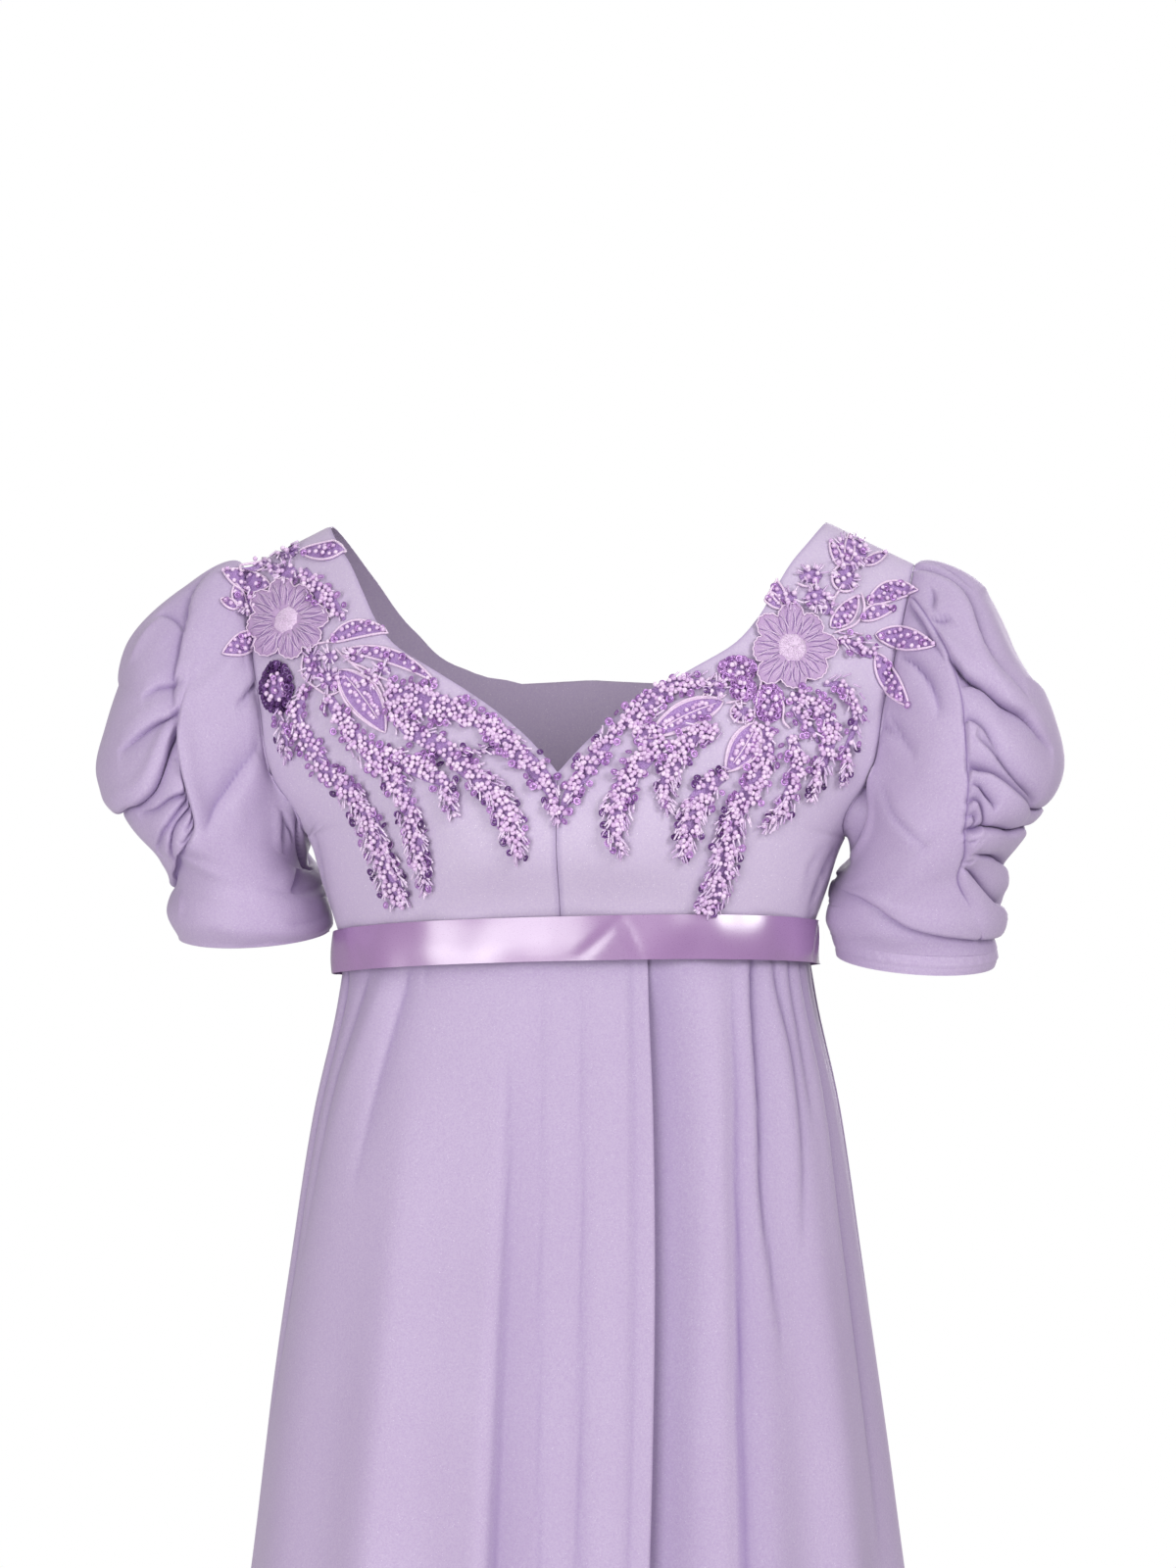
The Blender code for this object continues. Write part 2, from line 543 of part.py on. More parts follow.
def bodice_edges(neckline, t):
    """The angles at which a panel starts, at the centre or the neckline, and ends, at the side."""
    half_width = float(curve(TORSO, "half_width", t))
    fullness = float(curve(TORSO, "fullness", t))
    out = float(curve(neckline, "x", t)) if t > neckline[0].t else 0.0
    start = math.asin(min(out / half_width, 1.0) ** (1 / (1 - fullness)))
    height = (t - UNDERARM_T) / (1 - UNDERARM_T)
    end = float(armhole_angle(height)) if height > 0 else math.pi / 2
    return start, end


def bodice_panel(name, sign, behind):
    """One quarter of the bodice, moved half a seam's gap away from its neighbours."""
    neckline = BACK_NECK if behind else FRONT_NECK
    angles, levels = [], []
    for t in BACK_LEVELS if behind else FRONT_LEVELS:
        start, end = bodice_edges(neckline, t)
        if behind:
            start, end = math.pi - start, math.pi - end
        row = evenly(start, end, BODICE_COLUMNS, lambda fine: bodice_surface(fine, np.full_like(fine, t)))
        angles.append(row * sign)
        levels.append(np.full_like(row, t))
    angles, levels = np.array(angles), np.array(levels)
    normals = normals_of(bodice_surface, angles, levels)
    outer = bodice_surface(angles, levels)
    half_gap = SEAM_GAP / 2
    outer = outer + np.array([sign * half_gap, half_gap if behind else -half_gap, half_gap])
    return wall(name, outer, normals, BODICE_WALL, CREPE)


def sleeve_panel(name, side, around):
    """Part of a sleeve whose points lie at these angles. Its armhole edge is parallel to the bodice's."""
    w = np.array(SLEEVE_LEVELS)[:, None] + np.zeros_like(around)
    points = sleeve_surface(side, around, w)
    normals = normals_of(lambda u, v: sleeve_surface(side, u, v + LEVEL_STEP), around, w)
    at_armhole = normals_of(bodice_surface, *armhole_place(around))
    share = smoothstep(w / ARMHOLE_TURN)[..., None]
    normals = unit(at_armhole * (1 - share) + normals * share)
    flip = np.array([side.sign, 1, 1])
    return wall(name, points * flip, normals * flip, SLEEVE_WALL, CREPE)


def make_sleeve(side):
    """A sleeve's puff, its plain under panel and its band."""
    levels = np.array(SLEEVE_LEVELS)
    gap = SLEEVE_SEAM_GAP / SLEEVE_RADIUS
    seam = np.radians(curve(side.sleeve, "seam", levels))[:, None]
    heights = (np.array(ARMHOLE_LEVELS) - UNDERARM_T) / (1 - UNDERARM_T)
    places = np.arccos(2 * heights - 1)
    start = places[ARMHOLE_LEVELS.index(SEAM_LEVEL)]
    seam[0] = start
    over, below = places[places <= start][::-1], math.pi - places[places >= start]
    eased = smoothstep(levels / EVEN_BY)[:, None]

    def shares(half):
        """Shares across a panel, from the armhole's own to even ones."""
        full = np.concatenate([-half[::-1], half[1:]]) / half[-1]
        return full * (1 - eased) + np.linspace(-1, 1, len(full)) * eased

    puff = seam * shares(over) * (1 - gap)
    under = math.pi + (math.pi - seam) * shares(below) * (1 - gap)
    panels = [sleeve_panel(f"sleeve_puff_{side.name}", side, puff)]
    panels.append(sleeve_panel(f"sleeve_under_{side.name}", side, under))
    around = np.concatenate([puff[-1], under[-1, 1:-1]])
    rows = np.array([ring_points(edge._asdict(), around) for edge in side.band])
    centre = rows.mean(axis=1, keepdims=True)
    along = np.roll(rows, -1, axis=1) - np.roll(rows, 1, axis=1)
    normals = unit(np.cross(rows[-1] - rows[0], along))
    normals = normals * np.sign(np.sum(normals * (rows - centre), axis=-1, keepdims=True))
    flip = np.array([side.sign, 1, 1])
    wall(f"sleeve_band_{side.name}", rows * flip, normals * flip, SLEEVE_WALL, CREPE, closed=True)
    return panels


def make_skirt():
    """The skirt's front and its two back panels, which meet at the side seams and the centre back."""
    gap = SEAM_GAP / 2 / WAIST_GIRTH
    for name, start, end, columns in SKIRT_PANELS:
        shares = np.linspace(start + gap, end - gap, columns)
        if name == "skirt_front":
            clear = shares[np.abs(shares - PLEAT_AT_WAIST) > PLEAT_CLEAR]
            shares = np.sort(np.concatenate([clear, PLEAT_AT_WAIST + np.array(PLEAT_COLUMNS)]))
        down = np.array(SKIRT_LEVELS)[:, None] + np.zeros_like(shares)
        lean = np.exp(-(((shares - PLEAT_AT_WAIST) / PLEAT_PULL) ** 2)) * (PLEAT_AT_HEM - PLEAT_AT_WAIST)
        shares = shares + lean * down
        points = skirt_surface(shares, down) - np.array([0, 0, SEAM_GAP / 2]) * (down[..., None] == 0)
        normals = normals_of(lambda u, v: skirt_surface(u, v + LEVEL_STEP), shares, down)
        wall(name, points, -normals, SKIRT_WALL, CREPE)


def make_ribbon():
    """The ribbon, pulled straight from the bodice above the seam to the skirt below it."""
    angles = evenly(
        0, 2 * math.pi, RIBBON_COLUMNS + 1, lambda fine: bodice_surface(fine, np.zeros_like(fine))
    )[:-1]
    half = RIBBON_HEIGHT / 2
    bodice_height = RIDGE_AT_CENTRE - WAIST_Z
    high = bodice_surface(angles, np.full_like(angles, half / bodice_height))
    high_out = normals_of(bodice_surface, angles, np.full_like(angles, half / bodice_height))
    shares = np.interp((angles + math.pi) % (2 * math.pi) - math.pi, SHARE_ANGLES, SHARES)
    low = skirt_surface(shares, np.full_like(shares, half / (WAIST_Z - HEM_Z)))
    flat_out = unit(high_out * np.array([1, 1, 0]))
    top = high + flat_out * RIBBON_LIFT
    bottom = low + flat_out * RIBBON_LIFT
    top[:, 2] = waist_z(angles, top[:, 0]) + half
    bottom[:, 2] = waist_z(angles, bottom[:, 0]) - half
    rows = np.stack([bottom, top]) + flat_out * RIBBON_WALL
    wall("ribbon_sash", rows, np.stack([flat_out, flat_out]), RIBBON_WALL, SATIN, 0.35, closed=True)


def leaf_outline(leaf):
    """A pointed leaf, as points round it in the front view."""
    base, tip = np.array([leaf.from_x, leaf.from_z]), np.array([leaf.to_x, leaf.to_z])
    along = tip - base
    across = np.array([-along[1], along[0]]) / np.linalg.norm(along) * leaf.width / 2
    shares = np.linspace(0, 1, LEAF_STEPS)[1:-1]
    bulge = np.sin(np.pi * shares)[:, None] ** 0.8
    one = base + shares[:, None] * along + bulge * across
    other = base + shares[:, None] * along - bulge * across
    return np.concatenate([[base], one, [tip], other[::-1]])


def strand_outline(strand):
    """A strip along a route, as points round it in the front view."""
    corners = np.array(strand.route, float)
    lengths = np.concatenate([[0], np.cumsum(np.linalg.norm(np.diff(corners, axis=0), axis=1))])
    steps = np.linspace(0, lengths[-1], math.ceil(lengths[-1] / LACE_STEP) + 1)
    route = np.stack([np.interp(steps, lengths, corners[:, axis]) for axis in (0, 1)], axis=-1)
    ahead = np.gradient(route, axis=0)
    across = np.stack([-ahead[:, 1], ahead[:, 0]], axis=-1) / np.linalg.norm(ahead, axis=1, keepdims=True)
    half = np.linspace(strand.width_from, strand.width_to, len(route))[:, None] / 2
    return np.concatenate([route + across * half, (route - across * half)[::-1]])


def disc_outline(disc):
    turn = np.linspace(0, 2 * math.pi, DISC_STEPS, endpoint=False)
    return np.array([disc.x, disc.z]) + disc.radius * np.stack([np.cos(turn), np.sin(turn)], axis=-1)


def within(point, outline):
    """Whether a point of the front view lies inside an outline."""
    inside = False
    for start, end in zip(outline, np.roll(outline, -1, axis=0)):
        if (start[1] > point[1]) != (end[1] > point[1]):
            crossing = start[0] + (point[1] - start[1]) / (end[1] - start[1]) * (end[0] - start[0])
            inside ^= bool(point[0] < crossing)
    return inside


def triangles_within(points, edges, outlines):
    """The triangles between these points that lie in any of the outlines, with the edges kept."""
    places, _, faces, *_ = geometry.delaunay_2d_cdt([Vector(point) for point in points], edges, [], 0, 1e-6)
    places = np.array([tuple(place) for place in places])
    kept = [face for face in faces if any(within(places[face].mean(axis=0), line) for line in outlines)]
    return places, kept


def lace_cloth(discs, leaves, strands):
    """Flat points and triangles that fill the outlines of the lace's motifs, all joined in one piece."""
    outlines = [disc_outline(disc) for disc in discs] + [leaf_outline(leaf) for leaf in leaves]
    outlines += [strand_outline(strand) for strand in strands]
    points, edges = [], []
    for outline in outlines:
        first = len(points)
        edges += [(first + i, first + (i + 1) % len(outline)) for i in range(len(outline))]
        points += list(outline)
    places, faces = triangles_within(points, edges, outlines)
    sides = Counter(tuple(sorted((face[i], face[i - 1]))) for face in faces for i in range(3))
    rim = [side for side, count in sides.items() if count == 1]
    used = sorted({i for side in rim for i in side})
    renamed = {old: new for new, old in enumerate(used)}
    rim = [(renamed[a], renamed[b]) for a, b in rim]
    low, high = places.min(axis=0), places.max(axis=0)
    edge_places = places[used]
    spots = []
    for x in np.arange(low[0], high[0], LACE_STEP):
        for z in np.arange(low[1], high[1], LACE_STEP):
            spot = np.array([x, z])
            clear = np.linalg.norm(edge_places - spot, axis=1).min() > LACE_STEP / 2
            if clear and any(within(spot, line) for line in outlines):
                spots.append(spot)
    return triangles_within(list(edge_places) + spots, rim, outlines)


def make_lace(name, motifs, carriers):
    """A wall of lace that lies on the front of its carriers, a little way out from them."""
    flat, faces = lace_cloth(*motifs)
    points = []
    for x, z in flat * MM:
        start = Vector((x, LACE_SIGHT_Y, z))
        hits = [tree.ray_cast(start, Vector((0, 1, 0)), -LACE_SIGHT_Y)[0] for tree in carriers]
        hits = [hit for hit in hits if hit]
        if hits:
            y = min(hit.y for hit in hits)
        else:
            near = [tree.find_nearest(Vector((x, LACE_NEAR_Y, z)))[0] for tree in carriers]
            y = min(near, key=lambda place: (place.xz - Vector((x, z))).length).y - OVERHANG_LIFT
        points.append((x, y, z))
    base = np.array(points)
    normals = np.zeros_like(base)
    for face in faces:
        a, b, c = base[face]
        turned = np.cross(b - a, c - a)
        normals[face] += turned if turned[1] < 0 else -turned
    normals = unit(normals)
    inner, outer = base + normals * LACE_LIFT, base + normals * (LACE_LIFT + LACE_WALL)
    count = len(base)
    sides = Counter((face[i - 1], face[i]) for face in faces for i in range(3))
    rims = [side for side in sides if (side[1], side[0]) not in sides]
    solid = [tuple(face) for face in faces] + [tuple(count + i for i in face[::-1]) for face in faces]
    solid += [(b, a, count + a, count + b) for a, b in rims]
    new_object(name, np.concatenate([outer, inner]), solid, LACE, 0.6)


def outer_tree(item):
    """A search tree of an object's faces that look to the front."""
    faces = [list(face.vertices) for face in item.data.polygons if face.normal.y < FRONT_FACING]
    return BVHTree.FromPolygons([vertex.co.copy() for vertex in item.data.vertices], faces)


def make_gown():
    """All the pieces: each side's bodice panels, sleeve and lace, then the skirt and the ribbon."""
    for side in SIDES:
        front = bodice_panel(f"bodice_front_{side.name}", side.sign, behind=False)
        bodice_panel(f"bodice_back_{side.name}", side.sign, behind=True)
        carriers = [front, *make_sleeve(side)]
        make_lace(f"applique_{side.name}", side.motifs, [outer_tree(item) for item in carriers])
    make_skirt()
    make_ribbon()


for old in list(bpy.data.objects):
    bpy.data.objects.remove(old, do_unlink=True)
make_gown()
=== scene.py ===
"""The looks of a lilac regency gown: thin draped cloth, a satin ribbon and two beaded lace appliques.

Metres, +Z up. The front faces -Y and the wearer's left is +X, as in the frame that this script loads.
Each cloth piece is a fine shell on the same smooth form as its solid, with its creases added.
The lace is laid out in the photograph's pixels, and rays from its camera set it on the cloth.
"""

import math
from collections import Counter, defaultdict, namedtuple

import bmesh
import bpy
import numpy as np
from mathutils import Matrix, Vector, geometry
from mathutils.bvhtree import BVHTree


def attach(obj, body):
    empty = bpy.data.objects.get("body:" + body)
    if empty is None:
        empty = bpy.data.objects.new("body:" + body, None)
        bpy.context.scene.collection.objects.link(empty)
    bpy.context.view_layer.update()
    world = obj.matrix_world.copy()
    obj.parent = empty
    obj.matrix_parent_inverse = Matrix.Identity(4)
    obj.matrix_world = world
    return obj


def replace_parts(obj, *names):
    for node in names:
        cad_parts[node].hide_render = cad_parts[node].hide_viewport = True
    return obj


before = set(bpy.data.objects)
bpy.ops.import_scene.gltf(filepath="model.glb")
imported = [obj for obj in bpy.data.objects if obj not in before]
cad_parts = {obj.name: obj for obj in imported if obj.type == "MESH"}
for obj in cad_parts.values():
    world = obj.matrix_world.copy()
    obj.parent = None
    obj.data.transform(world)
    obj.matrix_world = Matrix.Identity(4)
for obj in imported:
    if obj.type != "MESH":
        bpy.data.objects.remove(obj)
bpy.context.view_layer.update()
MM = 0.001

# ---- The view -----------------------------------------------------------------------------------

VIEW_TURN = math.radians(5.7)  # the camera stands this far round towards the wearer's left
VIEW_DISTANCE, VIEW_Z = 1.9, -0.139
IMAGE_WIDTH, IMAGE_HEIGHT = 1200, 1600
PIXEL = 0.00058  # metres across a pixel, at the gown's middle
MIDDLE_PIXEL = 588  # the column in which the gown's middle stands
SENSOR = 24.0

# ---- The gown's forms ---------------------------------------------------------------------------

WAIST_Z, WAIST_DIP, WAIST_TILT, HEM_Z = -0.226, 0.010, 0.004, -1.400
RIDGE_AT_CENTRE, RIDGE_SLOPE, RIDGE_SOFTNESS, RIDGE_ROUNDNESS = 0.080, 0.495, 0.020, 6.0
SHOULDER_SETBACK = 0.008
UNDERARM_T = 0.257
BUST_X, BUST_Z, BUST_RISE = 0.040, -0.166, 0.017
BUST_SPREAD_X, BUST_SPREAD_Z = 0.048, 0.040
RIBBON_HEIGHT, RIBBON_LIFT = 0.025, 0.0016
ARMHOLE_GAP = 0.0005
SLEEVE_BLEND, FRONT_SAG = 0.35, 0.006
TURN_STEP, LEVEL_STEP = 1e-4, 1e-5

Torso = namedtuple("Torso", "t half_width front back fullness")
TORSO = (
    Torso(0.000, 0.137, 0.090, 0.084, 0.20),
    Torso(0.130, 0.148, 0.096, 0.088, 0.22),
    Torso(0.257, 0.159, 0.098, 0.092, 0.25),
    Torso(0.400, 0.185, 0.096, 0.094, 0.25),
    Torso(0.600, 0.200, 0.084, 0.090, 0.25),
    Torso(0.800, 0.208, 0.068, 0.078, 0.25),
    Torso(1.000, 0.212, 0.055, 0.060, 0.25),
)
NeckPoint = namedtuple("NeckPoint", "t x")
FRONT_NECK = (
    NeckPoint(0.307, 0.000),
    NeckPoint(0.372, 0.017),
    NeckPoint(0.425, 0.033),
    NeckPoint(0.489, 0.054),
    NeckPoint(0.549, 0.074),
    NeckPoint(0.625, 0.097),
    NeckPoint(0.691, 0.109),
    NeckPoint(0.773, 0.119),
    NeckPoint(0.859, 0.129),
    NeckPoint(0.923, 0.138),
    NeckPoint(1.000, 0.148),
)
BACK_NECK = (
    NeckPoint(0.510, 0.000),
    NeckPoint(0.516, 0.024),
    NeckPoint(0.540, 0.052),
    NeckPoint(0.590, 0.080),
    NeckPoint(0.700, 0.108),
    NeckPoint(0.850, 0.130),
    NeckPoint(1.000, 0.148),
)
ArmholePoint = namedtuple("ArmholePoint", "t angle")
ARMHOLE = (
    ArmholePoint(0.257, 90.0),
    ArmholePoint(0.262, 83.0),
    ArmholePoint(0.280, 75.0),
    ArmholePoint(0.320, 69.0),
    ArmholePoint(0.400, 66.5),
    ArmholePoint(0.600, 62.0),
    ArmholePoint(0.800, 63.5),
    ArmholePoint(1.000, 67.0),
)

# Sections of a sleeve, from the armhole (w = 0) to its band (w = 1).
Ring = namedtuple("Ring", "w outer_x outer_z inner_x inner_z front back middle_y seam")
LEFT_SLEEVE = (
    Ring(0.00, 0.196, -0.006, 0.158, -0.166, 0.048, 0.050, 0.002, 43.3),
    Ring(0.10, 0.215, -0.001, 0.163, -0.176, 0.060, 0.060, 0.001, 45),
    Ring(0.22, 0.242, -0.017, 0.1625, -0.184, 0.068, 0.070, 0.000, 58),
    Ring(0.36, 0.261, -0.056, 0.1600, -0.190, 0.075, 0.077, -0.002, 71),
    Ring(0.50, 0.280, -0.098, 0.1580, -0.196, 0.079, 0.080, -0.004, 81),
    Ring(0.61, 0.286, -0.130, 0.1565, -0.200, 0.076, 0.076, -0.005, 85),
    Ring(0.71, 0.275, -0.156, 0.1535, -0.204, 0.070, 0.070, -0.006, 78),
    Ring(0.79, 0.260, -0.177, 0.1510, -0.207, 0.065, 0.064, -0.006, 71),
    Ring(0.88, 0.256, -0.200, 0.148, -0.210, 0.061, 0.058, -0.006, 59),
    Ring(0.95, 0.250, -0.222, 0.147, -0.219, 0.057, 0.053, -0.006, 42),
    Ring(1.00, 0.247, -0.234, 0.150, -0.226, 0.050, 0.048, -0.006, 30),
)
RIGHT_SLEEVE = (
    Ring(0.00, 0.196, -0.006, 0.158, -0.166, 0.048, 0.050, 0.002, 43.3),
    Ring(0.10, 0.213, -0.008, 0.163, -0.176, 0.060, 0.060, 0.001, 45),
    Ring(0.22, 0.240, -0.031, 0.164, -0.184, 0.068, 0.070, 0.000, 56),
    Ring(0.36, 0.265, -0.061, 0.162, -0.189, 0.075, 0.077, -0.002, 80),
    Ring(0.50, 0.281, -0.102, 0.159, -0.194, 0.079, 0.080, -0.004, 98),
    Ring(0.61, 0.286, -0.131, 0.157, -0.198, 0.076, 0.076, -0.005, 95),
    Ring(0.71, 0.272, -0.156, 0.155, -0.202, 0.070, 0.070, -0.006, 80),
    Ring(0.79, 0.251, -0.176, 0.150, -0.206, 0.064, 0.064, -0.006, 55),
    Ring(0.87, 0.2420, -0.192, 0.1465, -0.215, 0.063, 0.058, -0.006, 29),
    Ring(0.94, 0.2450, -0.213, 0.1450, -0.223, 0.062, 0.054, -0.006, 16),
    Ring(1.00, 0.2365, -0.229, 0.1475, -0.227, 0.052, 0.048, -0.006, 15),
)
BandEdge = namedtuple("BandEdge", "outer_x outer_z inner_x inner_z front back middle_y")
LEFT_BAND = (
    BandEdge(0.2475, -0.2346, 0.1510, -0.2265, 0.0502, 0.0482, -0.006),
    BandEdge(0.2480, -0.2395, 0.1520, -0.2330, 0.0506, 0.0486, -0.006),
    BandEdge(0.2460, -0.2445, 0.1530, -0.2385, 0.0496, 0.0478, -0.006),
)
RIGHT_BAND = (
    BandEdge(0.2350, -0.2285, 0.1480, -0.2268, 0.0510, 0.0470, -0.006),
    BandEdge(0.2335, -0.2262, 0.1505, -0.2242, 0.0492, 0.0452, -0.006),
    BandEdge(0.2320, -0.2110, 0.1520, -0.2095, 0.0470, 0.0430, -0.006),
)

Skirt = namedtuple("Skirt", "below half_width front back fullness")
SKIRT = (
    Skirt(0.226, 0.1370, 0.090, 0.084, 0.20),
    Skirt(0.250, 0.1400, 0.093, 0.086, 0.20),
    Skirt(0.320, 0.1545, 0.102, 0.098, 0.20),
    Skirt(0.410, 0.1675, 0.113, 0.114, 0.20),
    Skirt(0.510, 0.1800, 0.124, 0.130, 0.18),
    Skirt(0.610, 0.190, 0.136, 0.143, 0.16),
    Skirt(0.800, 0.217, 0.158, 0.166, 0.14),
    Skirt(1.000, 0.245, 0.180, 0.190, 0.12),
    Skirt(1.200, 0.272, 0.202, 0.212, 0.10),
    Skirt(1.430, 0.300, 0.226, 0.236, 0.08),
)
SHARED_SECTION = SKIRT[4]  # the one that shares of the way round are measured on
Fold = namedtuple("Fold", "at_waist at_hem width depth grown_by")
SKIRT_FOLDS = (
    Fold(-0.235, -0.240, 0.026, 0.020, 0.70),
    Fold(-0.165, -0.172, 0.024, 0.016, 0.60),
    Fold(-0.100, -0.118, 0.022, 0.020, 0.45),
    Fold(-0.036, -0.040, 0.024, 0.016, 0.50),
    Fold(0.010, 0.012, 0.020, 0.009, 0.80),
    Fold(0.118, 0.104, 0.020, 0.022, 0.40),
    Fold(0.165, 0.163, 0.018, 0.018, 0.35),
    Fold(0.222, 0.226, 0.024, 0.024, 0.60),
    Fold(0.290, 0.288, 0.026, 0.020, 0.70),
    Fold(0.352, 0.350, 0.022, 0.022, 0.50),
    Fold(0.412, 0.415, 0.022, 0.018, 0.60),
    Fold(0.468, 0.470, 0.020, 0.022, 0.45),
    Fold(-0.475, -0.472, 0.020, 0.020, 0.50),
    Fold(-0.420, -0.418, 0.022, 0.022, 0.60),
    Fold(-0.358, -0.352, 0.024, 0.018, 0.50),
    Fold(-0.295, -0.292, 0.024, 0.022, 0.65),
)
PLEAT_AT_WAIST, PLEAT_AT_HEM = 0.0625, 0.028
PLEAT_STEP, PLEAT_TROUGH = 0.0075, 0.011
PLEAT_REACH = 0.040

# ---- Creases ------------------------------------------------------------------------------------

# A crease runs through places on its surface. It is a trough, or a ridge where its depth is negative,
# of one width on its left-hand side and another on its right. One that is open starts at full depth.
Crease = namedtuple("Crease", "route depth left right open", defaults=(False,))

# Both panels of the wearer's left sleeve share the folded cuff.
LEFT_SLEEVE_CREASES = (
    Crease((
        (0.60, 168), (0.70, 145), (0.783, 130), (0.883, 113.5), (0.923, 97.5), (0.939, 84.5),
        (0.951, 68.5), (0.962, 47), (0.968, 30), (0.972, 8), (0.972, -25), (0.968, -60), (0.973, -100),
    ), 3.6, 2.4, 9),
)
LEFT_PUFF_CREASES = (
    Crease((
        (0.02, 21), (0.10, 22), (0.15, 24), (0.198, 24), (0.234, 27), (0.266, 37.5), (0.298, 42.5),
        (0.338, 41), (0.386, 35.5), (0.43, 31.5),
    ), 6.2, 8, 2.6),
    Crease(((0.018, 4), (0.10, 8), (0.15, 10.5), (0.202, 15), (0.225, 17), (0.24, 19)), 3.6, 5, 2.6),
    Crease(((0.26, 4), (0.34, 5), (0.44, 10)), 5.5, 34, 34),
    Crease(((0.72, 0), (0.80, 2), (0.94, 5)), 5.0, 30, 30),
    Crease((
        (0.25, 62), (0.29, 59), (0.33, 53), (0.402, 46.5), (0.462, 36), (0.507, 32.5), (0.55, 26),
    ), 9.5, 2.6, 9, True),
    Crease(((0.29, 65), (0.31, 59), (0.346, 52.5), (0.40, 47)), 3.2, 4, 2.2),
    Crease(((0.165, 36), (0.178, 42), (0.178, 48.5)), 2.7, 2, 2.8),
    Crease(((0.178, 53), (0.202, 50.5), (0.224, 46)), 3, 2.2, 3),
    Crease(((0.198, 57), (0.218, 60)), 3, 2, 2.6),
    Crease(((0.342, 70.5), (0.374, 66), (0.402, 63), (0.43, 62), (0.475, 60)), 4.9, 6, 2.2, True),
    Crease(((0.398, 68.5), (0.43, 66), (0.466, 63.5), (0.523, 59.5), (0.575, 54), (0.66, 38)), 7.2, 5, 2.4),
    Crease(((0.41, 77), (0.442, 75), (0.462, 72.5)), 3.2, 3, 2, True),
    Crease((
        (0.438, 78), (0.462, 73), (0.503, 67.5), (0.539, 63.5), (0.587, 58), (0.64, 48), (0.675, 40.5),
        (0.70, 22), (0.705, 0), (0.70, -25),
    ), 7.2, 5, 2.6, True),
    Crease(((0.474, 79), (0.503, 76), (0.539, 74), (0.59, 69)), 6.2, 4, 2.2),
    Crease(((0.507, 83.5), (0.531, 79), (0.567, 77.5), (0.611, 75.5), (0.645, 73)), 6.8, 5, 2.2, True),
    Crease(((0.543, 85), (0.563, 82), (0.587, 81), (0.605, 83)), 4.9, 2.6, 2, True),
    Crease((
        (0.595, 86), (0.615, 80), (0.639, 73.5), (0.675, 63.5), (0.719, 48.5), (0.752, 13),
        (0.755, -18),
    ), 8.6, 6, 3, True),
    Crease(((0.639, 84), (0.655, 79)), 2.2, 2, 2.4, True),
    Crease(((0.70, 76), (0.743, 64), (0.77, 52), (0.799, 37.5), (0.851, 4), (0.852, -20)), 7.0, 5, 2.4),
    Crease(((0.723, 79), (0.75, 69.5)), 2.4, 2.6, 2, True),
    Crease((
        (0.745, 76), (0.78, 66), (0.811, 58.5), (0.839, 53.5), (0.875, 45.5), (0.897, 36), (0.915, 15),
        (0.915, -18),
    ), 8.8, 4.5, 2.4),
    Crease(((0.05, -8), (0.22, -18), (0.40, -26)), 6.8, 8, 4),
    Crease(((0.28, -62), (0.40, -48), (0.52, -30)), 8.1, 8, 3, True),
    Crease(((0.40, -74), (0.52, -58), (0.66, -42)), 8.1, 8, 3, True),
    Crease(((0.50, -80), (0.60, -66), (0.70, -50)), 6.8, 5, 2.6, True),
    Crease(((0.60, -84), (0.70, -60), (0.752, -20), (0.752, 8)), 8.0, 3, 6, True),
    Crease(((0.70, -77), (0.82, -56), (0.85, -25), (0.852, 2)), 6.8, 2.6, 6, True),
    Crease(((0.76, -70), (0.88, -50), (0.912, -25)), 6.1, 2.4, 5, True),
)
LEFT_UNDER_CREASES = (
    Crease(((0.05, 46), (0.154, 54.5), (0.20, 60.5), (0.25, 64)), 3.6, 2, 8),
    Crease((
        (0.10, 74.5), (0.134, 74), (0.17, 73.5), (0.206, 74.5), (0.234, 75.5), (0.262, 77), (0.29, 80),
    ), 4.0, 7, 4.2),
    Crease(((0.118, 97.5), (0.186, 98), (0.234, 99), (0.286, 97)), 1.9, 4.5, 4),
    Crease(((0.046, 105), (0.12, 103), (0.182, 101.5), (0.222, 100)), 1.9, 4.5, 4),
    Crease(((0.03, 122), (0.10, 124), (0.218, 122), (0.31, 120), (0.434, 115), (0.571, 106)), -4.5, 12, 9),
    Crease((
        (0.02, 129), (0.10, 131), (0.182, 132), (0.226, 136), (0.234, 145), (0.22, 160), (0.20, 175),
    ), 7.8, 3, 7, True),
    Crease(((0.20, 118), (0.30, 117), (0.414, 113.5), (0.498, 109.5), (0.60, 103)), 1.8, 4.5, 5),
    Crease(((0.30, 200), (0.50, 198), (0.70, 196), (0.86, 192)), -9, 34, 34),
    Crease(((0.10, 215), (0.26, 222), (0.44, 236)), 4.2, 8, 11, True),
    Crease(((0.14, 250), (0.34, 252), (0.50, 262)), 3.6, 8, 9),
    Crease(((0.50, 196), (0.72, 232), (0.92, 276)), 3.2, 11, 8, True),
)
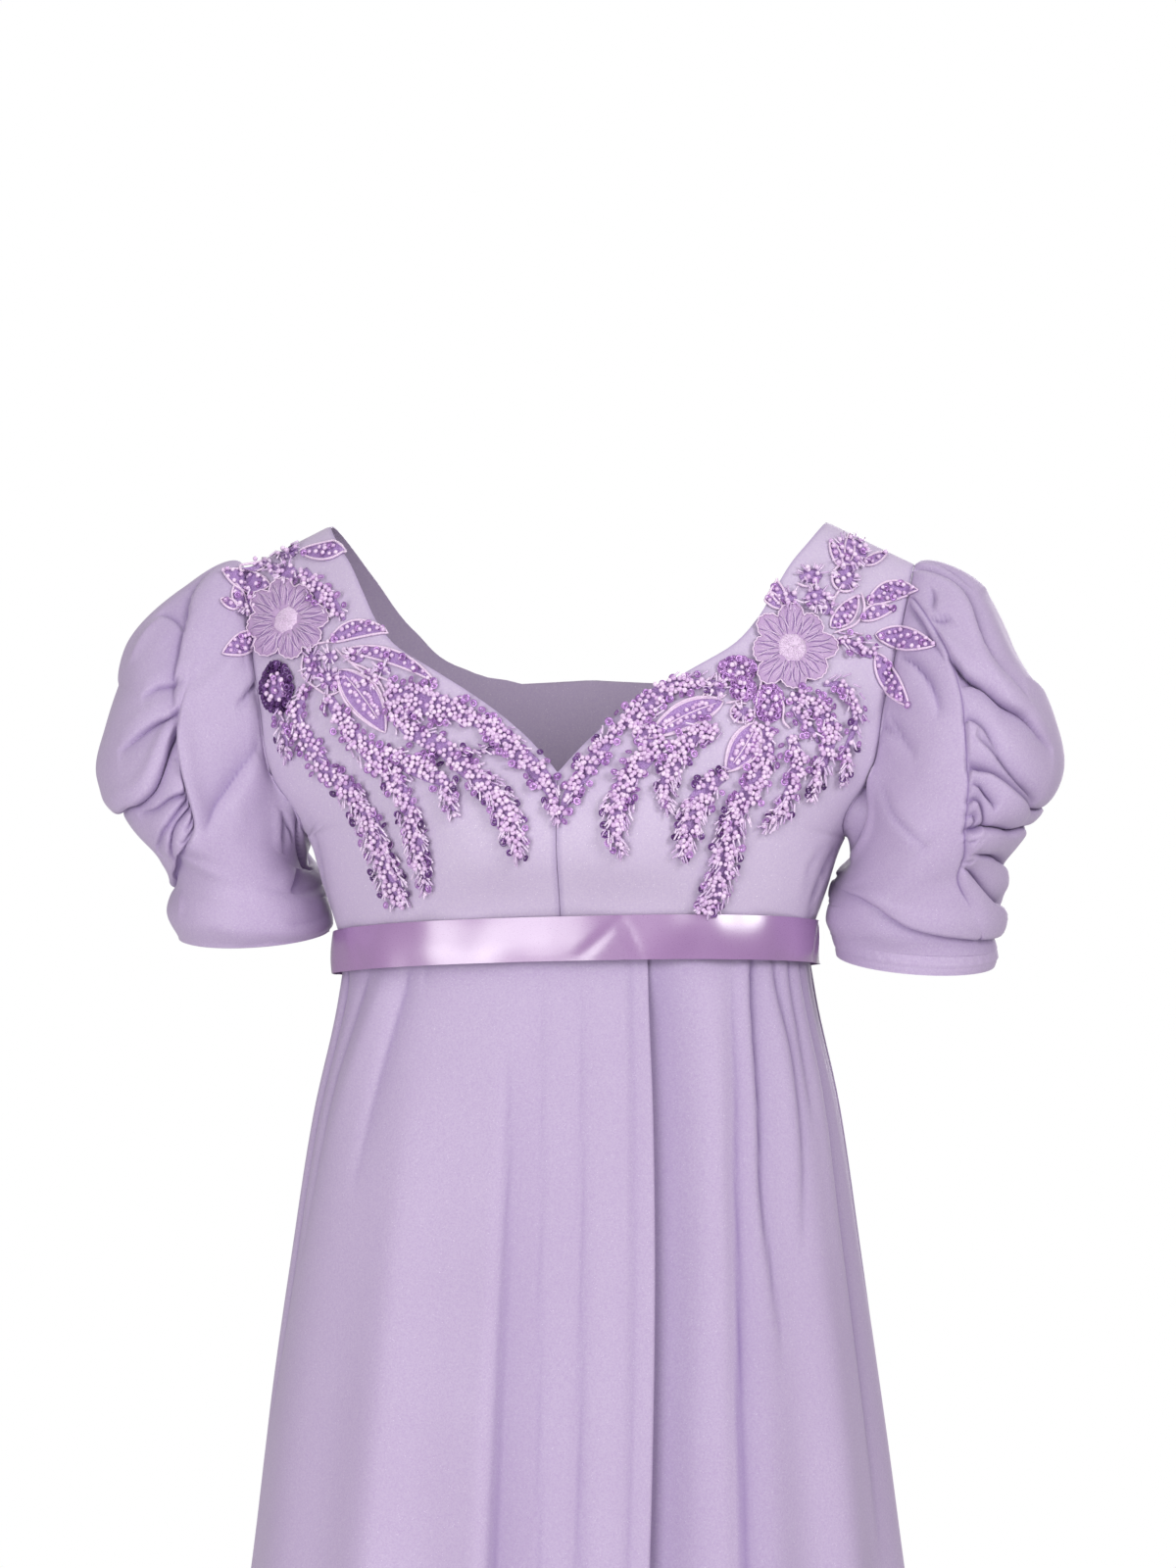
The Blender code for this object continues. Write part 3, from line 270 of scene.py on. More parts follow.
# Both panels of the right sleeve: the plain panel's lower edge, over which the gathers hang.
RIGHT_SLEEVE_CREASES = (
    Crease((
        (0.58, 100), (0.66, 91), (0.72, 79), (0.77, 63), (0.82, 46), (0.87, 29), (0.895, 8),
        (0.895, -22),
    ), 4.5, 2.4, 9),
)
RIGHT_PUFF_CREASES = (
    Crease(((0.08, 2), (0.20, 4), (0.30, 6), (0.42, 9)), -9, 42, 42),
    Crease((
        (0.17, 3.5), (0.202, 13.5), (0.226, 22.5), (0.238, 35), (0.25, 40.5), (0.266, 49.5),
        (0.282, 55.5), (0.298, 60), (0.31, 68),
    ), 4.1, 8, 2.6),
    Crease(((0.276, 16), (0.27, 19.5), (0.258, 26.5), (0.246, 36.5)), 3, 2, 4),
    Crease(((0.27, 20.5), (0.298, 22.5), (0.354, 28.5)), -1.8, 4, 5),
    Crease(((0.284, 58), (0.318, 52.5), (0.366, 48.5)), 3.7, 2.2, 5, True),
    Crease(((0.305, 69), (0.346, 64.5), (0.402, 58.5), (0.446, 53.5), (0.50, 46.5)), 6.4, 2.5, 8, True),
    Crease((
        (0.315, 74), (0.354, 73.5), (0.402, 74.5), (0.466, 74.5), (0.527, 71.5), (0.587, 64.5),
        (0.663, 44.5), (0.71, 15), (0.712, -18),
    ), 8.6, 2.6, 9, True),
    Crease(((0.342, 80), (0.352, 76.5)), 2.3, 2, 2.4, True),
    Crease(((0.365, 84), (0.385, 79)), 2.1, 2, 2.4, True),
    Crease(((0.405, 92), (0.45, 87), (0.494, 82), (0.559, 76.5), (0.63, 63)), 5.3, 2.2, 5, True),
    Crease((
        (0.41, 93.5), (0.454, 90), (0.523, 86.5), (0.587, 83.5), (0.671, 74.5), (0.75, 57),
    ), 4.6, 2.0, 3.4, True),
    Crease((
        (0.422, 96.5), (0.466, 93), (0.519, 90), (0.571, 87.5), (0.635, 84.5), (0.70, 77), (0.76, 64),
    ), 5.8, 2.0, 3.4, True),
    Crease(((0.462, 98), (0.507, 95.5), (0.567, 94)), 3.7, 2, 2.6, True),
    Crease(((0.50, 99), (0.55, 97), (0.60, 94), (0.63, 90)), 3.7, 2, 2.6, True),
    Crease(((0.04, 0), (0.20, -10), (0.38, -22)), 5.2, 8, 4),
    Crease(((0.26, -58), (0.38, -46), (0.50, -32)), 6.3, 8, 3, True),
    Crease(((0.36, -76), (0.50, -60), (0.64, -44)), 7.5, 8, 3, True),
    Crease(((0.46, -92), (0.58, -72), (0.70, -54)), 5.8, 5, 2.6, True),
    Crease(((0.54, -94), (0.66, -70), (0.712, -30), (0.712, 4)), 8, 3, 8, True),
    Crease(((0.62, -88), (0.74, -66), (0.80, -40)), 5.2, 2.6, 5, True),
)
RIGHT_UNDER_CREASES = (
    Crease(((0.12, 71), (0.154, 70.5), (0.206, 70), (0.25, 69.5), (0.285, 70)), -2.5, 6, 7),
    Crease(((0.02, 85), (0.08, 85.5), (0.134, 86), (0.185, 86.5)), 3.6, 2.2, 5),
    Crease((
        (0.10, 109), (0.158, 108.5), (0.234, 107.5), (0.298, 107.5), (0.43, 105.5), (0.52, 103.5),
    ), 4.1, 12, 7),
    Crease(((0.14, 112), (0.226, 114), (0.36, 114)), -1.8, 9, 9),
    Crease(((0.03, 144), (0.114, 160), (0.24, 176), (0.44, 186)), 6, 6, 3, True),
    Crease(((0.15, 140), (0.22, 145), (0.30, 151)), 4.8, 2.2, 5),
    Crease(((0.174, 142.5), (0.186, 152), (0.214, 159)), 2.9, 2, 3),
    Crease(((0.36, 168), (0.56, 160), (0.74, 150)), 3.6, 5, 9),
    Crease(((0.885, 44), (0.91, 50), (0.93, 47)), -1.4, 2.4, 3),
    Crease(((0.90, 136), (0.885, 158), (0.86, 180), (0.85, 190)), 0.8, 6, 8, True),
    Crease(((0.35, 202), (0.50, 202), (0.65, 198), (0.80, 195)), -6, 30, 30),
    Crease(((0.10, 218), (0.26, 226), (0.44, 238)), 4.2, 8, 11, True),
    Crease(((0.16, 252), (0.34, 250), (0.48, 258)), 3.6, 8, 9),
)
FRONT_CREASES = {
    "left": (
        Crease(((80, 0.235), (76, 0.17), (74, 0.12), (77, 0.05)), 3.0, 4, 7),
        Crease(((68, 0.225), (64, 0.18), (66, 0.10)), 1.8, 6, 3),
        Crease(((30, 0.02), (26, 0.05), (20, 0.075)), 0.8, 4, 4),
    ),
    "right": (
        Crease(((64, 0.29), (69, 0.24), (76, 0.15), (80, 0.06)), 2.2, 4, 8),
        Crease(((34, 0.02), (28, 0.05), (20, 0.07)), 0.8, 4, 4),
        Crease(((12, 0.02), (9, 0.07), (7, 0.12)), 0.6, 3, 3),
    ),
}
BACK_CREASES = {
    "left": (
        Crease(((104, 0.235), (108, 0.16), (112, 0.07)), 3.0, 7, 4),
        Crease(((150, 0.02), (146, 0.08), (138, 0.14)), 1.6, 6, 4),
        Crease(((124, 0.02), (122, 0.09), (118, 0.18)), 1.8, 5, 7),
    ),
    "right": (
        Crease(((102, 0.235), (107, 0.15), (110, 0.06)), 3.2, 4, 7),
        Crease(((154, 0.02), (149, 0.07), (144, 0.12)), 1.5, 4, 6),
        Crease(((126, 0.02), (125, 0.10), (120, 0.19)), 1.8, 7, 5),
    ),
}
SKIRT_CREASES = (
    Crease(((-0.100, 0.000), (-0.0995, 0.022)), 2.4, 1.6, 5, True),
    Crease(((-0.128, 0.000), (-0.150, 0.045), (-0.168, 0.10)), -2.6, 9, 9, True),
    Crease(((-0.112, 0.004), (-0.124, 0.050), (-0.136, 0.12)), 2.4, 8, 11, True),
    Crease(((-0.098, 0.05), (-0.096, 0.20), (-0.098, 0.45), (-0.10, 0.8)), -5, 12, 34),
    Crease((
        (-0.036, 0.03), (-0.033, 0.08), (-0.033, 0.16), (-0.036, 0.30), (-0.040, 0.55), (-0.042, 0.9),
    ), -7, 30, 10),
    Crease((
        (-0.0325, 0.05), (-0.0290, 0.10), (-0.0285, 0.16), (-0.0315, 0.30), (-0.0355, 0.55),
        (-0.0375, 0.9),
    ), 4.2, 2.6, 26),
    Crease(((-0.012, 0.004), (-0.009, 0.10), (-0.008, 0.28), (-0.006, 0.7)), 1.6, 6, 7),
    Crease(((0.014, 0.004), (0.015, 0.11), (0.014, 0.30), (0.012, 0.8)), 2.2, 5, 8),
    Crease(((0.036, 0.004), (0.034, 0.11), (0.030, 0.30), (0.024, 0.8)), -1.2, 7, 6),
    Crease(((0.050, 0.000), (0.0455, 0.114), (0.041, 0.29), (0.030, 0.7)), 1.4, 2.5, 6, True),
    Crease(((0.109, 0.008), (0.094, 0.114), (0.080, 0.22), (0.072, 0.5)), -3, 9, 13),
    Crease(((0.128, 0.008), (0.112, 0.11), (0.104, 0.22), (0.098, 0.5)), 5.1, 9, 12),
    Crease(((0.146, 0.000), (0.136, 0.06), (0.127, 0.123), (0.132, 0.20)), 4.5, 1.8, 12, True),
    Crease(((0.164, 0.000), (0.170, 0.05), (0.163, 0.10), (0.152, 0.15)), 3.2, 2.4, 7, True),
    Crease(((0.184, 0.000), (0.183, 0.045), (0.176, 0.09)), 2.8, 2.4, 6, True),
    Crease(((0.202, 0.000), (0.203, 0.06), (0.196, 0.13), (0.198, 0.3)), 3.8, 3, 9, True),
    Crease(((0.222, 0.000), (0.226, 0.07), (0.228, 0.18)), 3.8, 3, 8, True),
    Crease(((-0.150, 0.000), (-0.176, 0.06), (-0.188, 0.16)), 2.2, 6, 9, True),
    Crease(((-0.190, 0.000), (-0.203, 0.09), (-0.208, 0.24)), 3.2, 5, 10, True),
    Crease(((-0.222, 0.000), (-0.232, 0.10), (-0.236, 0.22)), 2.8, 6, 7, True),
)
BACK_SKIRT_CREASES = (
    Crease(((0.262, 0.000), (0.264, 0.10), (0.262, 0.26)), 3.2, 3, 8, True),
    Crease(((0.283, 0.000), (0.280, 0.05), (0.282, 0.13)), 2.6, 7, 2.5, True),
    Crease(((0.312, 0.000), (0.316, 0.12), (0.314, 0.34)), 3.6, 3, 10, True),
    Crease(((0.340, 0.000), (0.338, 0.07)), 2.4, 5, 2.4, True),
    Crease(((0.366, 0.000), (0.370, 0.14), (0.368, 0.40)), 4.0, 9, 3, True),
    Crease(((0.392, 0.000), (0.390, 0.08)), 2.6, 2.4, 6, True),
    Crease(((0.420, 0.000), (0.424, 0.16), (0.426, 0.42)), 4.4, 3, 10, True),
    Crease(((0.448, 0.000), (0.447, 0.07)), 2.8, 6, 2.4, True),
    Crease(((0.478, 0.000), (0.482, 0.18), (0.480, 0.45)), 4.6, 9, 3, True),
    Crease(((0.504, 0.000), (0.505, 0.08)), 2.4, 2.4, 6, True),
    Crease(((0.528, 0.000), (0.524, 0.16), (0.526, 0.40)), 4.2, 3, 9, True),
    Crease(((0.556, 0.000), (0.558, 0.07)), 2.8, 6, 2.4, True),
    Crease(((0.584, 0.000), (0.580, 0.14), (0.578, 0.42)), 4.4, 10, 3, True),
    Crease(((0.610, 0.000), (0.612, 0.06)), 2.4, 2.4, 5, True),
    Crease(((0.638, 0.000), (0.634, 0.13), (0.638, 0.36)), 3.8, 3, 9, True),
    Crease(((0.668, 0.000), (0.670, 0.07)), 2.6, 5, 2.4, True),
    Crease(((0.696, 0.000), (0.692, 0.12), (0.694, 0.30)), 3.4, 8, 3, True),
    Crease(((0.730, 0.000), (0.728, 0.11), (0.730, 0.24)), 2.8, 4, 8, True),
)

# How high a panel rolls up beside its seam, in millimetres, how far it leans over the seam, and the
# levels between which it does so.
Roll = namedtuple("Roll", "height lean start end")
# One side of the gown: the tables of its sleeve, and the levels between which that seam is drawn in.
Side = namedtuple(
    "Side", "name sign sleeve band creases puff_creases under_creases puff_roll under_roll seam_seen"
)
SIDES = (
    Side(
        "left", 1, LEFT_SLEEVE, LEFT_BAND,
        LEFT_SLEEVE_CREASES, LEFT_PUFF_CREASES, LEFT_UNDER_CREASES,
        Roll(1.6, 0.0, 0.26, 0.88), Roll(0.3, 0.0, 0.28, 0.88), (0.05, 0.90),
    ),
    Side(
        "right", -1, RIGHT_SLEEVE, RIGHT_BAND,
        RIGHT_SLEEVE_CREASES, RIGHT_PUFF_CREASES, RIGHT_UNDER_CREASES,
        Roll(1.2, 0.0, 0.40, 0.80), Roll(4.6, 2.6, 0.24, 0.70), (0.28, 0.76),
    ),
)

# ---- Smooth forms -------------------------------------------------------------------------------


def curve(rows, name, at):
    """A smooth curve through one column of a table, read at places given in its first column."""
    xs = np.array([row[0] for row in rows], float)
    ys = np.array([getattr(row, name) for row in rows], float)
    slopes = np.gradient(ys, xs)
    at = np.clip(at, xs[0], xs[-1])
    i = np.clip(np.searchsorted(xs, at) - 1, 0, len(xs) - 2)
    step = xs[i + 1] - xs[i]
    u = (at - xs[i]) / step
    start = (1 + 2 * u) * (1 - u) ** 2 * ys[i] + u * (1 - u) ** 2 * step * slopes[i]
    end = u**2 * (3 - 2 * u) * ys[i + 1] - u**2 * (1 - u) * step * slopes[i + 1]
    return start + end


def smoothstep(x):
    x = np.clip(x, 0.0, 1.0)
    return x * x * (3 - 2 * x)


def unit(vectors):
    return vectors / np.maximum(np.linalg.norm(vectors, axis=-1, keepdims=True), 1e-12)


SECTION = ("half_width", "front", "back", "fullness")


def rounded_section(angle, half_width, front, back, fullness):
    """x and y on a section round the body. The angle is 0 at centre front and +90 degrees at the left."""
    sine, cosine = np.sin(angle), np.cos(angle)
    power = 1 - fullness
    depth = np.where(cosine >= 0, front, back)
    x = half_width * np.sign(sine) * np.abs(sine) ** power
    y = -depth * np.sign(cosine) * np.abs(cosine) ** power
    return x, y


def waist_z(angle, x):
    """The height of the empire seam, which dips towards the back and leans to the right."""
    return WAIST_Z - WAIST_DIP * (1 - np.cos(angle)) + WAIST_TILT * x / TORSO[0].half_width


def bodice_surface(angle, t):
    """Points of the bodice's outer face, from the waist (t = 0) to the shoulder line (t = 1)."""
    x, y = rounded_section(angle, *(curve(TORSO, name, t) for name in SECTION))
    y = y * np.sqrt(np.clip(1 - t**RIDGE_ROUNDNESS, 0, 1)) + SHOULDER_SETBACK * t**2
    top = RIDGE_AT_CENTRE - RIDGE_SLOPE * (np.sqrt(x**2 + RIDGE_SOFTNESS**2) - RIDGE_SOFTNESS)
    level = WAIST_Z - WAIST_DIP * (1 - np.cos(angle)) * (1 - t)
    level = level + WAIST_TILT * x / TORSO[0].half_width * np.clip(1 - t / UNDERARM_T, 0, 1) ** 2
    z = level + t * (top - level)
    rise = sum(np.exp(-(((x - side * BUST_X) / BUST_SPREAD_X) ** 2)) for side in (1, -1))
    rise = BUST_RISE * rise * np.exp(-(((z - BUST_Z) / BUST_SPREAD_Z) ** 2)) * smoothstep(t / 0.15)
    y = y - rise * np.clip(np.cos(angle), 0, 1) ** 0.5
    return np.stack([x, y, z], axis=-1)


def skirt_folds(share, down):
    """How far the folds move the skirt out, at a share of the way round and of the way down."""
    moved = np.zeros_like(share)
    for fold in SKIRT_FOLDS:
        middle = fold.at_waist + (fold.at_hem - fold.at_waist) * down
        away = (share - middle + 0.5) % 1.0 - 0.5
        grown = smoothstep(down / fold.grown_by) * (0.35 + 0.65 * down)
        moved = moved + fold.depth * grown * np.exp(-((away / fold.width) ** 2))
    return moved


def share_table():
    """Fine angles round the skirt, and the share of the way round at each, from -0.5 to 0.5."""
    angles = np.linspace(-math.pi, math.pi, 1441)
    x, y = rounded_section(angles, *SHARED_SECTION[1:])
    lengths = np.concatenate([[0], np.cumsum(np.hypot(np.diff(x), np.diff(y)))])
    return lengths / lengths[-1] - 0.5, angles


SHARES, SHARE_ANGLES = share_table()


def skirt_surface(share, down, moved):
    """Points of the skirt from the waist (down = 0) to the hem, moved out of its plain form."""
    angle = np.interp((share + 0.5) % 1.0 - 0.5, SHARES, SHARE_ANGLES)
    depth = -(WAIST_Z + down * (HEM_Z - WAIST_Z))
    sizes = [curve(SKIRT, name, depth) for name in SECTION]
    x, y = rounded_section(angle, *sizes)
    ahead_x, ahead_y = rounded_section(angle + TURN_STEP, *sizes)
    behind_x, behind_y = rounded_section(angle - TURN_STEP, *sizes)
    along = unit(np.stack([ahead_x - behind_x, ahead_y - behind_y], axis=-1))
    top = waist_z(angle, x)
    z = top + down * (HEM_Z - top)
    return np.stack([x + moved * along[..., 1], y - moved * along[..., 0], z], axis=-1)


def armhole_angle(height):
    """The armhole's angle on the bodice at a share of the way from its lowest point to the shoulder."""
    ups = [math.sqrt((row.t - UNDERARM_T) / (1 - UNDERARM_T)) for row in ARMHOLE]
    rows = [ArmholePoint(up, row.angle) for up, row in zip(ups, ARMHOLE)]
    return np.radians(curve(rows, "angle", np.sqrt(np.clip(height, 0, 1))))


def armhole_place(around):
    """The angle and t of the left armhole's points. The angle round it is 0 at the shoulder."""
    height = (1 + np.cos(around)) / 2
    angle = armhole_angle(height)
    angle = np.where(np.sin(around) >= 0, angle, math.pi - angle)
    return angle, UNDERARM_T + (1 - UNDERARM_T) * height


def ring_points(size, around):
    """Points on a ring. Its angle is 0 at the outer end, 90 degrees in front and 180 at the inner end."""
    cosine, sine = np.cos(around), np.sin(around)
    x = (size["outer_x"] + size["inner_x"]) / 2 + (size["outer_x"] - size["inner_x"]) / 2 * cosine
    z = (size["outer_z"] + size["inner_z"]) / 2 + (size["outer_z"] - size["inner_z"]) / 2 * cosine
    y = size["middle_y"] - np.where(sine >= 0, size["front"], size["back"]) * sine
    return np.stack([x, y, z - FRONT_SAG * np.clip(sine, 0, 1)], axis=-1)


def normals_of(surface, u, v):
    """Unit normals of a surface of two parameters, pointing out of the gown."""
    across = surface(u + TURN_STEP, v) - surface(u - TURN_STEP, v)
    up = surface(u, v) - surface(u, v - LEVEL_STEP)
    return unit(np.cross(unit(across), unit(up)))


def sleeve_surface(side, around, w):
    """Points of a sleeve's outer face as on the wearer's left, from the armhole (w = 0) to the band."""
    size = {name: curve(side.sleeve, name, w) for name in Ring._fields[1:]}
    ring = ring_points(size, around)
    place = armhole_place(around)
    ahead = bodice_surface(*armhole_place(around + TURN_STEP))
    along = unit(ahead - bodice_surface(*armhole_place(around - TURN_STEP)))
    away = unit(np.cross(normals_of(bodice_surface, *place), along))
    armhole = bodice_surface(*place) + away * ARMHOLE_GAP
    share = smoothstep(w / SLEEVE_BLEND)[..., None]
    return armhole * (1 - share) + ring * share


# ---- Cloth --------------------------------------------------------------------------------------

CLOTH = 0.0008  # the thickness of the crepe that is seen
SINK = 0.0004  # how far the cloth that is seen lies inside its solid's outer face
CREASE_STEPS, CREASE_STEP = 20, 5.0  # the fewest steps along a crease, and a step's millimetres
CREASE_END = 0.6  # the lower this is, the more bluntly a crease ends
OPEN_END = 9  # the cloth of an open crease leans fully after the first ninth of it
EVEN_FALL, SOFT_FALL = 1.7, 1.35  # how steeply the sides of an even crease, and a soft side, fall
# Beside a steep side the cloth swells and leans over. A soft side has a share of the steep one's form.
SWELL, LEAN, GROOVE = 0.26, 0.38, 0.30
SWELL_AT, SWELL_PAST = 1.8, 2.4  # where it swells: so many narrow widths, and millimetres, off the line
WALL, LIP = 0.62, 0.9  # a steep side's width against the crease's narrow one, and its lip beyond that
SOFT_SHADE, FULL_SHADE = 0.38, 4.5  # the share of the shade that is broad, and the depth that has it all
SOFT_LINE, STEEP_LINE = 1.4, 1.5  # millimetres from the line in which its shade fades
RIPPLE_WAVES = 9
BROAD_RIPPLE, CLOSE_RIPPLE = 60, 46  # the usual length of its waves, in millimetres
# The sizes by which a table's angles, levels and shares become millimetres.
SLEEVE_LENGTH, SLEEVE_RADIUS = 0.20, 0.080
BODICE_RADIUS, BODICE_HEIGHT = 0.140, 0.306
WAIST_GIRTH, SKIRT_DROP = 0.74, 1.174
SEAM_GAP = 0.0003


def run_lengths(points):
    """How far along a line of points each one lies."""
    return np.concatenate([[0], np.cumsum(np.linalg.norm(np.diff(points, axis=0), axis=-1))])


def crease_line(crease):
    """A crease's route in short steps, with its corners rounded."""
    corners = np.array(crease.route, float)
    steps = run_lengths(corners)
    fine = np.linspace(0, steps[-1], max(CREASE_STEPS, int(steps[-1] / CREASE_STEP)))
    line = np.stack([np.interp(fine, steps, corners[:, i]) for i in (0, 1)], axis=-1)
    for _ in range(2):
        line[1:-1] = (line[:-2] + 2 * line[1:-1] + line[2:]) / 4
    return line


def from_line(line, near):
    """The share of a line that is nearest to each place, the way there from it, and on which side."""
    best = np.full(len(near), np.inf)
    share, turned, off = np.zeros(len(near)), np.zeros(len(near)), np.zeros_like(near)
    for i, (start, end) in enumerate(zip(line[:-1], line[1:])):
        along = end - start
        part = np.clip(((near - start) @ along) / (along @ along), 0, 1)
        away = near - start - part[:, None] * along
        distance = np.hypot(away[:, 0], away[:, 1])
        nearer = distance < best
        best = np.where(nearer, distance, best)
        share = np.where(nearer, (i + part) / (len(line) - 1), share)
        turned = np.where(nearer, along[0] * away[:, 1] - along[1] * away[:, 0], turned)
        off = np.where(nearer[:, None], away, off)
    return best, share, turned > 0, off


def crease_form(crease, best, on_left):
    """A crease's depth at a distance from its line, how far its cloth leans, and its shade, from 0 to 1."""
    width = np.where(on_left, crease.left, crease.right)
    narrow = min(crease.left, crease.right)
    if crease.depth < 0 or crease.left == crease.right:
        return np.exp(-((best / width) ** EVEN_FALL)), 0 * best, 0 * best
    steep = on_left == (crease.left < crease.right)
    wall, swell = narrow * WALL, SWELL_AT * narrow + SWELL_PAST
    groove = np.exp(-((best / wall) ** 2))
    sharp = groove - SWELL * np.exp(-(((best - swell) / (0.62 * swell)) ** 2))
    soft = (1 - GROOVE) * np.exp(-((best / width) ** SOFT_FALL)) + GROOVE * groove
    lip = wall + LIP
    lean = np.where(steep, LEAN * best / lip * np.exp(1 - best / lip), 0)
    near_line = (1 - SOFT_SHADE) * np.exp(-best / SOFT_LINE) + SOFT_SHADE * np.exp(-best / (0.8 * width))
    dark = np.where(steep, np.exp(-((best / STEEP_LINE) ** 2)), near_line)
    dark = dark * min(crease.depth / FULL_SHADE, 1)
    return np.where(steep, sharp, soft), lean, dark


def crease_field(places, creases):
    """How deep the creases are at flat places, how far the cloth there slides over them, and its shade.

    A place is measured in millimetres, and the first two answers in metres. Beside its narrow side a
    crease's cloth swells and leans over it. The shade is 1 on the line of a deep crease.
    """
    flat = places.reshape(-1, 2)
    total, slid, shade = np.zeros(len(flat)), np.zeros_like(flat), np.zeros(len(flat))
    for crease in creases:
        line = crease_line(crease)
        reach = 4 * max(crease.left, crease.right) + 6
        close = np.all((flat > line.min(axis=0) - reach) & (flat < line.max(axis=0) + reach), axis=1)
        best, share, on_left, off = from_line(line, flat[close])
        form, lean, dark = crease_form(crease, best, on_left)
        ends = np.clip(share * OPEN_END, 0, 1) if crease.open else 1.0
        fade = np.cos(share * math.pi / 2) if crease.open else np.sin(share * math.pi)
        fade = np.clip(fade, 0, 1) ** CREASE_END
        shade[close] = np.maximum(shade[close], fade * dark)
        fade = crease.depth * fade
        total[close] += fade * form
        slid[close] -= off / np.maximum(best, 1e-6)[:, None] * (fade * lean * ends)[:, None]
    grid = places.shape[:-1]
    return (total * MM).reshape(grid), (slid * MM).reshape(places.shape), shade.reshape(grid)


def in_millimetres(creases, scale):
    """The creases with their routes' two numbers turned round and scaled to millimetres."""
    return [
        crease._replace(route=[(b * scale[0], a * scale[1]) for a, b in crease.route])
        for crease in creases
    ]


def across_first(creases):
    """Creases whose tables give the place across before the place along, the other way round."""
    return [crease._replace(route=[(b, a) for a, b in crease.route]) for crease in creases]


def ripple(places, size, seed):
    """Slow, uneven waves between -1 and 1 over flat places, in millimetres."""
    random = np.random.default_rng(seed)
    total = np.zeros(places.shape[:-1])
    for _ in range(RIPPLE_WAVES):
        turn, phase = random.uniform(0, math.pi), random.uniform(0, 2 * math.pi)
        length = size * random.uniform(0.7, 1.8)
        along = places[..., 0] * math.cos(turn) + places[..., 1] * math.sin(turn)
        total += np.sin(along * 2 * math.pi / length + phase)
    return total / RIPPLE_WAVES


def grid_normals(points, like, closed=False):
    """Normals of a grid of points, on the same side as the directions given."""
    if closed:
        across = np.roll(points, -1, axis=1) - np.roll(points, 1, axis=1)
    else:
        across = np.gradient(points, axis=1)
    normals = unit(np.cross(unit(across), unit(np.gradient(points, axis=0))))
    toward = np.sum(normals * like, axis=-1)
    return normals * np.where(np.median(toward) < 0, -1.0, 1.0)


def new_piece(name, points, faces, material, rims=None, shade=None):
    """A piece of these points and faces. Edges between points on one and the same rim are sharp."""
    mesh = bpy.data.meshes.new(name)
    mesh.from_pydata(np.asarray(points).tolist(), [], faces)
    mesh.shade_smooth()
    if rims is not None:
        ends = np.zeros(len(mesh.edges) * 2, np.int32)
        mesh.edges.foreach_get("vertices", ends)
        one, other = rims[ends[0::2]], rims[ends[1::2]]
        sharp = mesh.attributes.new("sharp_edge", "BOOLEAN", "EDGE")
        sharp.data.foreach_set("value", (one == other) & (one > 0))
    if shade is not None:
        mesh.attributes.new("shade", "FLOAT", "POINT").data.foreach_set("value", shade.astype(np.float32))
    mesh.materials.append(material)
    piece = bpy.data.objects.new(name, mesh)
    bpy.context.collection.objects.link(piece)
    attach(piece, "root")
    return piece


def shell(name, outer, normals, material, thickness=CLOTH, closed=False, shade=None):
    """A thin closed shell between a grid of points and the same grid moved in."""
    rows, columns = outer.shape[:2]
    points = np.concatenate([outer.reshape(-1, 3), (outer - normals * thickness).reshape(-1, 3)])
    inner = rows * columns
    spans = columns if closed else columns - 1
    row, column = np.meshgrid(np.arange(rows - 1), np.arange(spans), indexing="ij")
    beside = (column + 1) % columns
    a, b = (row * columns + column).ravel(), (row * columns + beside).ravel()
    c, d = b + columns, a + columns
    faces = np.concatenate([np.stack([a, b, c, d], 1), np.stack([d, c, b, a], 1) + inner])
    column = np.arange(spans)
    beside = (column + 1) % columns
    last = (rows - 1) * columns
    rims = [
        np.stack([beside, column, inner + column, inner + beside], 1),
        np.stack([last + column, last + beside, inner + last + beside, inner + last + column], 1),
    ]
    if not closed:
        for edge, turn in ((0, 1), (columns - 1, -1)):
            a = np.arange(rows - 1) * columns + edge
            rims.append(np.stack([a, a + columns, inner + a + columns, inner + a], 1)[:, ::turn])
    faces = np.concatenate([faces, *rims])
    corner = points[faces[:, :3]]
    volume = np.einsum("ij,ij->i", corner[:, 0], np.cross(corner[:, 1], corner[:, 2])).sum()
    if volume < 0:
        faces = faces[:, ::-1]
    on_rim = np.zeros((rows, columns), np.int32)
    on_rim[[0, -1]] = 1
    if not closed:
        on_rim[:, [0, -1]] = 1
    rims = np.concatenate([on_rim.ravel(), on_rim.ravel() * 2])
    shade = np.zeros((rows, columns)) if shade is None else np.clip(shade, 0, 1)
    return new_piece(name, points, faces.tolist(), material, rims, np.tile(shade.ravel(), 2))


def evenly(start, end, count, points_at):
    """Values from start to end whose points, which points_at gives, are evenly spaced."""
    fine = np.linspace(start, end, 400)
    lengths = run_lengths(points_at(fine))
    return np.interp(np.linspace(0, lengths[-1], count), lengths, fine)


def bodice_edges(neckline, t):
    """The angles at which a panel starts, at the centre or the neckline, and ends, at the side."""
    half_width = float(curve(TORSO, "half_width", t))
    fullness = float(curve(TORSO, "fullness", t))
    out = float(curve(neckline, "x", t)) if t > neckline[0].t else 0.0
    start = math.asin(min(out / half_width, 1.0) ** (1 / (1 - fullness)))
    height = (t - UNDERARM_T) / (1 - UNDERARM_T)
    end = float(armhole_angle(height)) if height > 0 else math.pi / 2
    return start, end


BODICE_ROWS, BODICE_COLUMNS = 66, 60
SHOULDER_CROWDING, BODICE_RIPPLE = 1.35, 0.0004
SEAM_DITCH, SEAM_DITCH_WIDTH, SEAM_SHADE = 0.0007, 0.0016, 0.45


